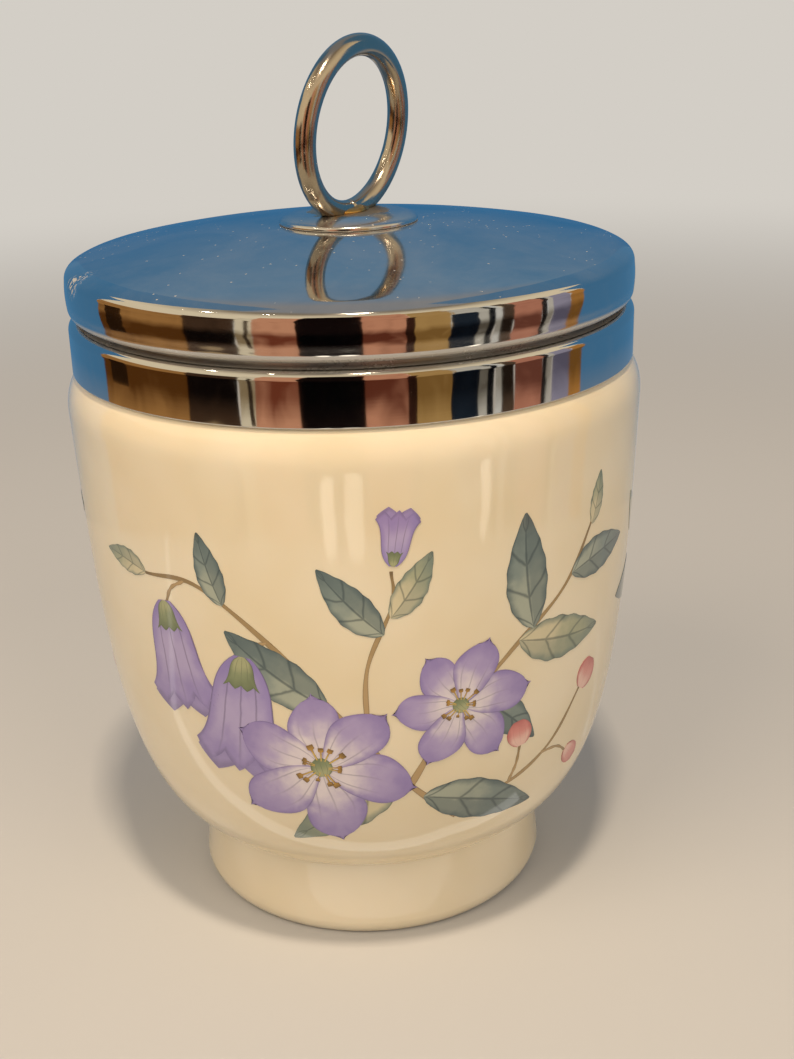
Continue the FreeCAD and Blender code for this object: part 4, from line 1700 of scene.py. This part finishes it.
class FlowerTransfer:
    """Printed sprays, drawn flat in millimetres and laid on the bowl by a geometry tree."""

    FILM = 0.07
    STEM_LIFT = 0.03

    def __init__(self, cup: Cup, sprays: Sequence[Spray]) -> None:
        """Measure the bowl's outline from the crease upwards.

        Args:
            cup: The cup that is decorated.
            sprays: The groups of flowers on it.
        """
        line = np.array(cup.bowl_line())
        self.sprays = sprays
        self.heights = line[:, 1]
        self.lengths = np.concatenate([[0], np.cumsum(np.hypot(*np.diff(line, axis=0).T))])
        curve = bpy.data.curves.new("bowl_line", "CURVE")
        curve.dimensions = "3D"
        spline = curve.splines.new("POLY")
        spline.points.add(len(line) - 1)
        for point, (r, z) in zip(spline.points, line):
            point.co = (r * MM, 0, z * MM, 1)
        self.bowl = link_object("bowl_line", curve)

    def up_the_bowl(self, height: float) -> float:
        """Distance along the bowl's outline, from the crease to a height."""
        return float(np.interp(height, self.heights, self.lengths))

    @staticmethod
    def tree() -> NodeTree:
        """Set motifs on points of the sheet and wrap the sheet round the bowl.

        Returns:
            The tree.
        """
        tree, given = new_tree("print laid on the bowl", {
            "Motif": "Object", "Bowl Line": "Object", "Film Lift": "Float", "Ink": "Material"})
        add = partial(add_node, tree)
        azimuth, turn, size = (add("GeometryNodeInputNamedAttribute", {"Name": name},
                                   data_type="FLOAT") for name in ("azimuth", "turn", "size"))
        motif, line = (add("GeometryNodeObjectInfo", {"Object": given.out(name)}, "Geometry")
                       for name in ("Motif", "Bowl Line"))
        laid = add("GeometryNodeInstanceOnPoints",
                   {"Points": given, "Instance": motif, "Rotation": add("CombineXYZ", {2: turn}),
                    "Scale": add("CombineXYZ", {0: size, 1: size, 2: size})})
        sheet = add("GeometryNodeRealizeInstances", {"Geometry": laid})
        at = add("SeparateXYZ", {0: add("GeometryNodeInputPosition")})
        sample = add("GeometryNodeSampleCurve", {"Curves": line, "Length": at.out(1)}, "Position",
                     mode="LENGTH")
        radius = add("SeparateXYZ", {0: sample})
        way = add("SeparateXYZ", {0: sample.out("Tangent")})
        lift = at.out(2) + given.out("Film Lift")
        turned = azimuth + at / radius
        outward = radius + lift * way.out(2)
        place = add("CombineXYZ", {0: outward * turned.by("COSINE"), 1: outward * turned.by("SINE"),
                                   2: radius.out(2) - lift * way})
        wrapped = add("GeometryNodeSetPosition", {"Geometry": sheet, "Position": place})
        end_tree(tree, wrapped, given.out("Ink"))
        return tree

    def places(self, title: str, motifs: Sequence[tuple[float, Motif]]) -> Mesh:
        """The points of the sheet that motifs stand on, with their attributes.

        Args:
            title: Name of the mesh.
            motifs: Each motif with its spray's azimuth in degrees.

        Returns:
            A mesh of loose points.
        """
        mesh = bpy.data.meshes.new(title)
        mesh.from_pydata([(m.across * MM, self.up_the_bowl(m.height) * MM, m.step * MM)
                          for _, m in motifs], [], [])
        columns = {"azimuth": [math.radians(a) for a, _ in motifs],
                   "turn": [math.radians(m.turn) for _, m in motifs],
                   "size": [m.size for _, m in motifs], "tint": [m.tint for _, m in motifs]}
        for name, values in columns.items():
            mesh.attributes.new(name, "FLOAT", "POINT").data.foreach_set("value", values)
        return mesh

    def stem_mesh(self, title: str, stems: Sequence[Stem]) -> Mesh:
        """Draw a spray's stems as tapering ribbons in the sheet.

        Args:
            title: Name of the mesh.
            stems: The stems.

        Returns:
            The flat drawing.
        """
        drawn = bmesh.new()
        for number, stem in enumerate(stems):
            way = np.array([(across, self.up_the_bowl(height)) for across, height in stem.points])
            padded = np.vstack([2 * way[0] - way[1], way, 2 * way[-1] - way[-2]])
            drawn.from_mesh(flat_patch(title, 10 * len(way), 2,
                                       partial(ribbon, padded, stem, number)))
        mesh = bpy.data.meshes.new(title)
        drawn.to_mesh(mesh)
        drawn.free()
        return mesh

    def build(self) -> None:
        """Lay every kind of motif and the stems on the bowl and put them in the frame."""
        tree = self.tree()
        for kind in Kind:
            motifs = [(s.azimuth, m) for s in self.sprays for m in s.motifs() if m.kind is kind]
            self.lay(f"print_{kind.title}", tree, self.places(f"{kind.title}_places", motifs),
                     flat_patch(kind.title, kind.rows, kind.columns, kind.place), kind.ink, kind.lift)
        for spray in self.sprays:
            anchor = Motif(Kind.LEAF, 0, self.heights[0], 0)
            self.lay(f"print_stems_{spray.title}", tree,
                     self.places(f"{spray.title}_stems_place", [(spray.azimuth, anchor)]),
                     self.stem_mesh(f"stems_{spray.title}", spray.stems), Ink.STEM, self.STEM_LIFT)
        bpy.data.objects.remove(self.bowl)

    def lay(self, name: str, tree: NodeTree, places: Mesh,
            drawing: Mesh, ink: Ink, lift: float) -> None:
        """Lay one drawing on all its places as a thin film.

        Args:
            name: Name of the new piece.
            tree: The geometry tree that lays it.
            places: Loose points with their attributes.
            drawing: The flat drawing.
            ink: Its colour.
            lift: Height of the film's outside above the glaze in millimetres.
        """
        sample = link_object(f"{name}_drawing", drawing)
        colour = bpy.data.materials.get(ink.value.name) or ink.value.material()
        film = grown(name, places, tree, {"Motif": sample, "Bowl Line": self.bowl,
                                          "Film Lift": lift * MM, "Ink": colour}, film=self.FILM)
        bpy.data.objects.remove(sample)
        finish_piece(film, ink.value, "cup", "porcelain")


# ---- Studio ----


class Board(NamedTuple):
    """A board that only mirrors see: its span in degrees to the right of the camera, and heights.

    Its shade lies at its heart and passes into its colour between a near and a far distance above
    or below it, in clouds as strong as its blotch. Where it is rounded, its outline is a superellipse
    of that power, and where it has a reach, it leans in to that distance from the axis at its top.
    """

    name: str
    left: float
    right: float
    low: float
    high: float
    colour: str
    shade: str
    strength: float = 1.0
    distance: float = 150.0
    rounded: float = 0.0
    reach: float = 0.0
    heart: float = 50.0
    near: float = 8.0
    far: float = 20.0
    blotch: float = 1.3


class Lamp(NamedTuple):
    """A square lamp: its bearing and elevation in degrees, distance and width in millimetres."""

    name: str
    bearing: float
    elevation: float
    distance: float
    width: float
    watts: float
    colour: str


def outwards(bearing: float, elevation: float = 0.0) -> Vector:
    """Find the way out from the axis at a bearing, from -Y round to -X, and elevation in degrees."""
    turn, rise = math.radians(bearing), math.radians(elevation)
    return Vector((-math.sin(turn) * math.cos(rise), -math.cos(turn) * math.cos(rise),
                   math.sin(rise)))


@dataclass
class Studio:
    """Pale floor, soft lamps, boards that only mirrors see, and the camera. Millimetres."""

    camera_distance: float = 180.72
    camera_height: float = 113.99
    camera_bearing: float = 55.0
    camera_yaw: float = 1.47
    camera_pitch: float = 20.68
    camera_roll: float = -1.768
    focal_pixels: float = 1500.0
    frame_width_pixels: float = 794.0
    sensor_mm: float = 36.0
    floor_radius: float = 9000.0
    floor_thickness: float = 0.6
    floor_fade_start: float = 190.0
    floor_fade_end: float = 620.0
    floor_colour: str = "#C9CBCD"
    distance_colour: str = "#D3CEC6"
    sky_colour: str = "#D3CEC6"
    ambient: float = 0.26
    boards: tuple[Board, ...] = (
        Board("sill_bar_left", -13, -8.5, 1, 24, "#FFF2DE", "#FFF2DE", 3.2, distance=140, rounded=3),
        Board("sill_bar_middle", -5, 1, 0, 27, "#FFF2DE", "#FFF2DE", 2.6, distance=140, rounded=4),
        Board("sill_bar_right", 42, 45.5, 3, 30, "#FFF2DE", "#FFF2DE", 3.0, distance=140, rounded=3),
        Board("umber_wall", -104, -60, 0, 112, "#B07C44", "#5C3512"),
        Board("umber_panel", -99, -89, 40, 70, "#3A220E", "#2A180A", distance=147),
        Board("dark_doorway", -61, -40, 0, 120, "#4A3424", "#0E0806"),
        Board("door_light", -58, -44, 0, 31, "#B0936C", "#4E3826", distance=148, rounded=2.5),
        Board("lit_strip", -40, -34, 0, 145, "#E4D2B0", "#8E7857", 1.1),
        Board("strip_edge", -36.5, -35, 30, 98, "#4A3A2A", "#2A1C12", distance=148),
        Board("copper_left", -34, -8, 0, 165, "#DC9A74", "#7A3C26"),
        Board("dark_figure", -19, 3, 0, 185, "#150C0A", "#030303", distance=146, rounded=9),
        Board("copper_right", 0, 19, 0, 205, "#D89470", "#6A3422"),
        Board("copper_line", 17.5, 20.5, 0, 98, "#3E2218", "#2A160E", distance=148),
        Board("golden_wall", 19, 35, 0, 195, "#BE9458", "#8A6432"),
        Board("blue_black", 33, 43, 12, 84, "#222A33", "#0C1016", distance=149, rounded=5),
        Board("pale_gap", 33, 48, 0, 180, "#CEC5B4", "#5E5548"),
        Board("black_post", 46.5, 49, 0, 150, "#14161A", "#08080A", distance=149),
        Board("white_post", 49, 52, 0, 175, "#D8D2C6", "#9A9182", 1.1),
        Board("dark_post", 52, 57, 0, 160, "#5A4636", "#241A12"),
        Board("rose_panel", 57, 69, 0, 150, "#C88468", "#744232"),
        Board("slate_post", 69, 71.5, 0, 140, "#2C2826", "#161412"),
        Board("pale_post", 71.5, 74, 0, 135, "#CFC6B6", "#93897A"),
        Board("lilac_panel", 74, 83, 0, 128, "#A098A8", "#645E6E"),
        Board("amber_post", 83, 90.5, 0, 118, "#C08440", "#7E5424"),
        *(Board(f"blue_side_{side}", left, right, 0, 170, "#4F84AC", "#B9B2A8", 0.9,
                heart=0, near=4, far=40, blotch=0.1)
          for side, left, right in (("left", -152, -104), ("right", 90.5, 150))),
        Board("rear_grey_left", -168, -150, 0, 62, "#8F979E", "#5E666E"),
        Board("rear_dark", 172, 184, 0, 62, "#5A6067", "#3E4248"),
        Board("rear_grey_right", 150, 164, 0, 62, "#A7ADB2", "#70777D"),
        *(Board(f"blue_upper_{side}", left, right, 170, 430, "#5F84A2", "#4F84AC", 0.9,
                heart=170, near=0, far=260, blotch=0.1)
          for side, left, right in (("left", -152, -122), ("right", 108, 150))),
        Board("canopy", -122, 108, 90, 430, "#94846E", "#F0DCB8", 1.1, distance=152,
              heart=150, near=40, far=240, blotch=0.3),
        *(Board(f"bulb_{side}", *span, "#FFF1D8", "#FFF1D8", 50, distance=149, rounded=2)
          for side, span in (("left", (-76.5, -73, 250, 266)), ("middle", (-51, -48, 332, 346)),
                             ("right", (1.5, 10, 402, 429)))),
        Board("rear_wall", 90.5, 256, 0, 330, "#6A90AE", "#37709C", 0.95, distance=400,
              heart=0, near=90, far=330, blotch=0.1),
        Board("rear_slope", 90.5, 256, 330, 470, "#98989A", "#6A90AE", 0.95, distance=400, reach=8,
              heart=330, near=0, far=75, blotch=0.1),
        Board("ceiling", -152, 150, 430, 472, "#93979C", "#94846E", 1.0, distance=152, reach=8,
              heart=430, near=0, far=42, blotch=0.2),
    )
    edgings: tuple[tuple[float, tuple[Point, ...]], ...] = (
        (1.5, ((-150.0, -40.0), (-68.0, -14.0), (-30.0, -27.0), (-8.0, -29.5), (15.0, -28.5),
               (32.0, -20.0))),
        (0.6, ((44.0, 12.0), (60.0, 20.0), (101.0, 28.0), (137.0, 47.0), (200.0, 80.0))),
    )
    edging_width: float = 4.2
    blotch_mm: float = 30.0
    edging_height: float = 0.4
    edging_colour: str = "#FFF6E8"
    lamps: tuple[Lamp, ...] = (
        Lamp("key_lamp", 51.0, 71.0, 760.0, 60.0, 3.2, "#FFE6C6"),
        Lamp("left_softbox", 100.0, 44.0, 700.0, 420.0, 2.0, "#FFE4C2"),
        Lamp("front_softbox", 22.0, 34.0, 800.0, 420.0, 1.35, "#FFE6C8"),
    )
    lamp_target: float = 50.0

    SWAYS = ((0.35, 9, 1), (0.2, 23, 2))    # of a board's edges: degrees, waves, shift by its place
    BOARD_STEPS = (24, 16)
    EDGING_STEPS = 12

    def build(self) -> None:
        """Make everything that isn't part of the object."""
        self.make_world()
        self.make_floor()
        self.make_lamps()
        for board in self.boards:
            self.make_board(board)
        for number, (strength, line) in enumerate(self.edgings):
            self.make_edging(f"floor_edging_{number}", line, strength)
        self.make_camera()

    def make_world(self) -> None:
        """A plain pale sky that lights the object evenly at a lower strength than it is seen."""
        world = bpy.data.worlds.new("studio")
        bpy.context.scene.world = world
        world.use_nodes = True
        world.node_tree.nodes.clear()
        add = partial(add_node, world.node_tree)
        path = seen = add("LightPath", output="Is Camera Ray")
        for ray in ("Is Glossy Ray", "Is Transmission Ray"):
            seen = seen.by("MAXIMUM", path.out(ray))
        shown = add("Background", {"Color": self.sky_colour})
        lighting = add("Background", {"Strength": self.ambient, "Color": "#FFFFFF"})
        add("OutputWorld", {"Surface": add("MixShader", {0: seen, 1: lighting, 2: shown})})

    def floor_surface(self, tree: NodeTree) -> Field:
        """Matt paper that passes into the distance's colour away from the object.

        Args:
            tree: The material's empty tree.

        Returns:
            The shader's output.
        """
        add = partial(add_node, tree)
        place = add("TexCoord", output="Object")
        away = add("VectorMath", {0: place}, "Value", operation="LENGTH")
        fade = add("MapRange", {"Value": away, "From Min": self.floor_fade_start * MM,
                                "From Max": self.floor_fade_end * MM},
                   interpolation_type="SMOOTHSTEP")
        paper = add("BsdfDiffuse", {"Color": self.floor_colour})
        distant = add("Emission", {"Color": self.distance_colour})
        return add("MixShader", {0: fade, 1: paper, 2: distant})

    def make_floor(self) -> None:
        """A wide pale floor."""
        outline = Outline(0, -self.floor_thickness)
        outline.line((self.floor_radius, -self.floor_thickness), (self.floor_radius, 0), (0, 0))
        floor = outline.spun("studio_floor", 96)
        floor.data.materials.append(new_material("matt studio paper", self.floor_surface))

    def board_place(self, board: Board, up: float, across: float) -> Triple:
        """A point of a board.

        Args:
            board: The board.
            up: Share of its height, 0 to 1.
            across: Share across it, -1 to 1.

        Returns:
            The point, swaying a little so that no edge is dead straight.
        """
        bulge = abs(2 * up - 1)**board.rounded if board.rounded else 0.0
        wide = (1 - bulge)**(1 / board.rounded) if board.rounded else 1.0
        middle, half = (board.left + board.right) / 2, (board.right - board.left) / 2
        sway = sum(degrees * math.sin(waves * up + shift * board.left)
                   for degrees, waves, shift in self.SWAYS)
        out = board.distance + up * (board.reach - board.distance) * (board.reach > 0)
        way = outwards(self.camera_bearing - middle - across * wide * half - sway)
        return way.x * out, way.y * out, board.low + up * (board.high - board.low)

    def board_surface(self, board: Board, tree: NodeTree) -> Field:
        """A glow in a board's colour that passes in clouds into its shade near its heart.

        Args:
            board: The board.
            tree: The material's empty tree.

        Returns:
            The shader's output.
        """
        add = partial(add_node, tree)
        spot = add("TexCoord", output="Object")
        cloud = add("TexNoise", {"Vector": spot, "Scale": per_mm(self.blotch_mm), "Detail": 2.5,
                                 "Distortion": 1.2}) - 0.5
        level = (add("SeparateXYZ", {0: spot}, 2) - board.heart * MM).by("ABSOLUTE")
        share = add("MapRange", {"Value": level, "From Min": board.near * MM,
                                 "From Max": board.far * MM})
        clear = cloud.by("MULTIPLY_ADD", board.blotch, share, clamp=True)
        colour = add("Mix", {0: clear, 6: board.shade, 7: board.colour}, 2, data_type="RGBA")
        return add("Emission", {"Color": colour, "Strength": board.strength})

    def make_board(self, board: Board) -> None:
        """Stand one board round the object, or lay it overhead, seen by mirrors alone."""
        mesh = sheet_mesh(board.name, *self.BOARD_STEPS, partial(self.board_place, board))
        self.show_to_mirrors(mesh, new_material(f"board {board.name}",
                                                partial(self.board_surface, board)))

    def edging_place(self, line: Sequence[Point], along: float, across: float) -> Triple:
        """A point of an edging.

        Args:
            line: Its points on the floor, right and away from the camera.
            along: Share along it, 0 to 1, in even shares from point to point.
            across: Share across it, -1 to 1.

        Returns:
            The point.
        """
        reach = along * (len(line) - 1)
        i = min(int(reach), len(line) - 2)
        (x0, y0), (x1, y1) = line[i], line[i + 1]
        side = across * self.edging_width / 2 / math.hypot(x1 - x0, y1 - y0)
        x = x0 + (x1 - x0) * (reach - i) - (y1 - y0) * side
        y = y0 + (y1 - y0) * (reach - i) + (x1 - x0) * side
        away = outwards(self.camera_bearing)
        return -x * away.y - y * away.x, x * away.x - y * away.y, self.edging_height

    def make_edging(self, name: str, line: Sequence[Point], strength: float) -> None:
        """Lay a pale edging on the floor, seen by mirrors alone.

        Args:
            name: Its name.
            line: Its points on the floor, right and away from the camera.
            strength: How brightly it glows.
        """
        glow = new_material(name, partial(add_node, kind="Emission", inputs={
            "Color": self.edging_colour, "Strength": strength}))
        mesh = sheet_mesh(name, self.EDGING_STEPS * len(line), 1, partial(self.edging_place, line))
        self.show_to_mirrors(mesh, glow)

    @staticmethod
    def show_to_mirrors(mesh: Mesh, material: Material) -> None:
        """Put a glowing sheet in the studio that only mirror reflections can see.

        Args:
            mesh: The sheet.
            material: Its glow.
        """
        panel = link_object(mesh.name, mesh)
        material.cycles.emission_sampling = "NONE"
        mesh.materials.append(material)
        for ray in ("camera", "diffuse", "transmission", "volume_scatter", "shadow"):
            setattr(panel, f"visible_{ray}", False)

    def make_lamps(self) -> None:
        """A small bright key high in front and two large soft boxes."""
        for lamp in self.lamps:
            data = bpy.data.lights.new(lamp.name, "AREA")
            data.shape, data.size = "SQUARE", lamp.width * MM
            data.energy, data.color = lamp.watts, linear(lamp.colour)[:3]
            away = outwards(lamp.bearing, lamp.elevation)
            thing = link_object(lamp.name, data)
            thing.location = (Vector((0, 0, self.lamp_target)) + away * lamp.distance) * MM
            thing.rotation_euler = (-away).to_track_quat("-Z", "Y").to_euler()

    def make_camera(self) -> None:
        """The camera, near and a little above, with its own small roll."""
        data = bpy.data.cameras.new("camera")
        data.sensor_fit, data.sensor_width = "HORIZONTAL", self.sensor_mm
        data.lens = self.focal_pixels / self.frame_width_pixels * self.sensor_mm
        data.clip_start, data.clip_end = 0.01, 40.0
        camera = link_object("camera", data)
        heading = math.radians(self.camera_bearing + self.camera_yaw)
        roll = math.radians(self.camera_roll)
        ahead = -outwards(self.camera_bearing + self.camera_yaw, self.camera_pitch)
        level = Vector((math.cos(heading), -math.sin(heading), 0))
        upright = level.cross(ahead)
        right = level * math.cos(roll) + upright * math.sin(roll)
        up = upright * math.cos(roll) - level * math.sin(roll)
        turned = Matrix((right, up, -ahead)).transposed().to_4x4()
        place = outwards(self.camera_bearing) * self.camera_distance
        place.z = self.camera_height
        camera.matrix_world = Matrix.Translation(place * MM) @ turned
        bpy.context.scene.camera = camera


def main() -> None:
    """Build the coddler and its studio; each finished piece logs its triangle count."""
    logging.basicConfig(level=logging.INFO, format="%(name)s: %(message)s")
    cup = Cup()
    cup.build()
    Collar().build()
    lid = LidShell()
    lid.build()
    ThreadRing().build()
    Handle().build(lid)
    FlowerTransfer(cup, sprays()).build()
    Studio().build()
    bpy.context.scene.view_settings.view_transform = "Standard"


if __name__ == "__main__":
    main()
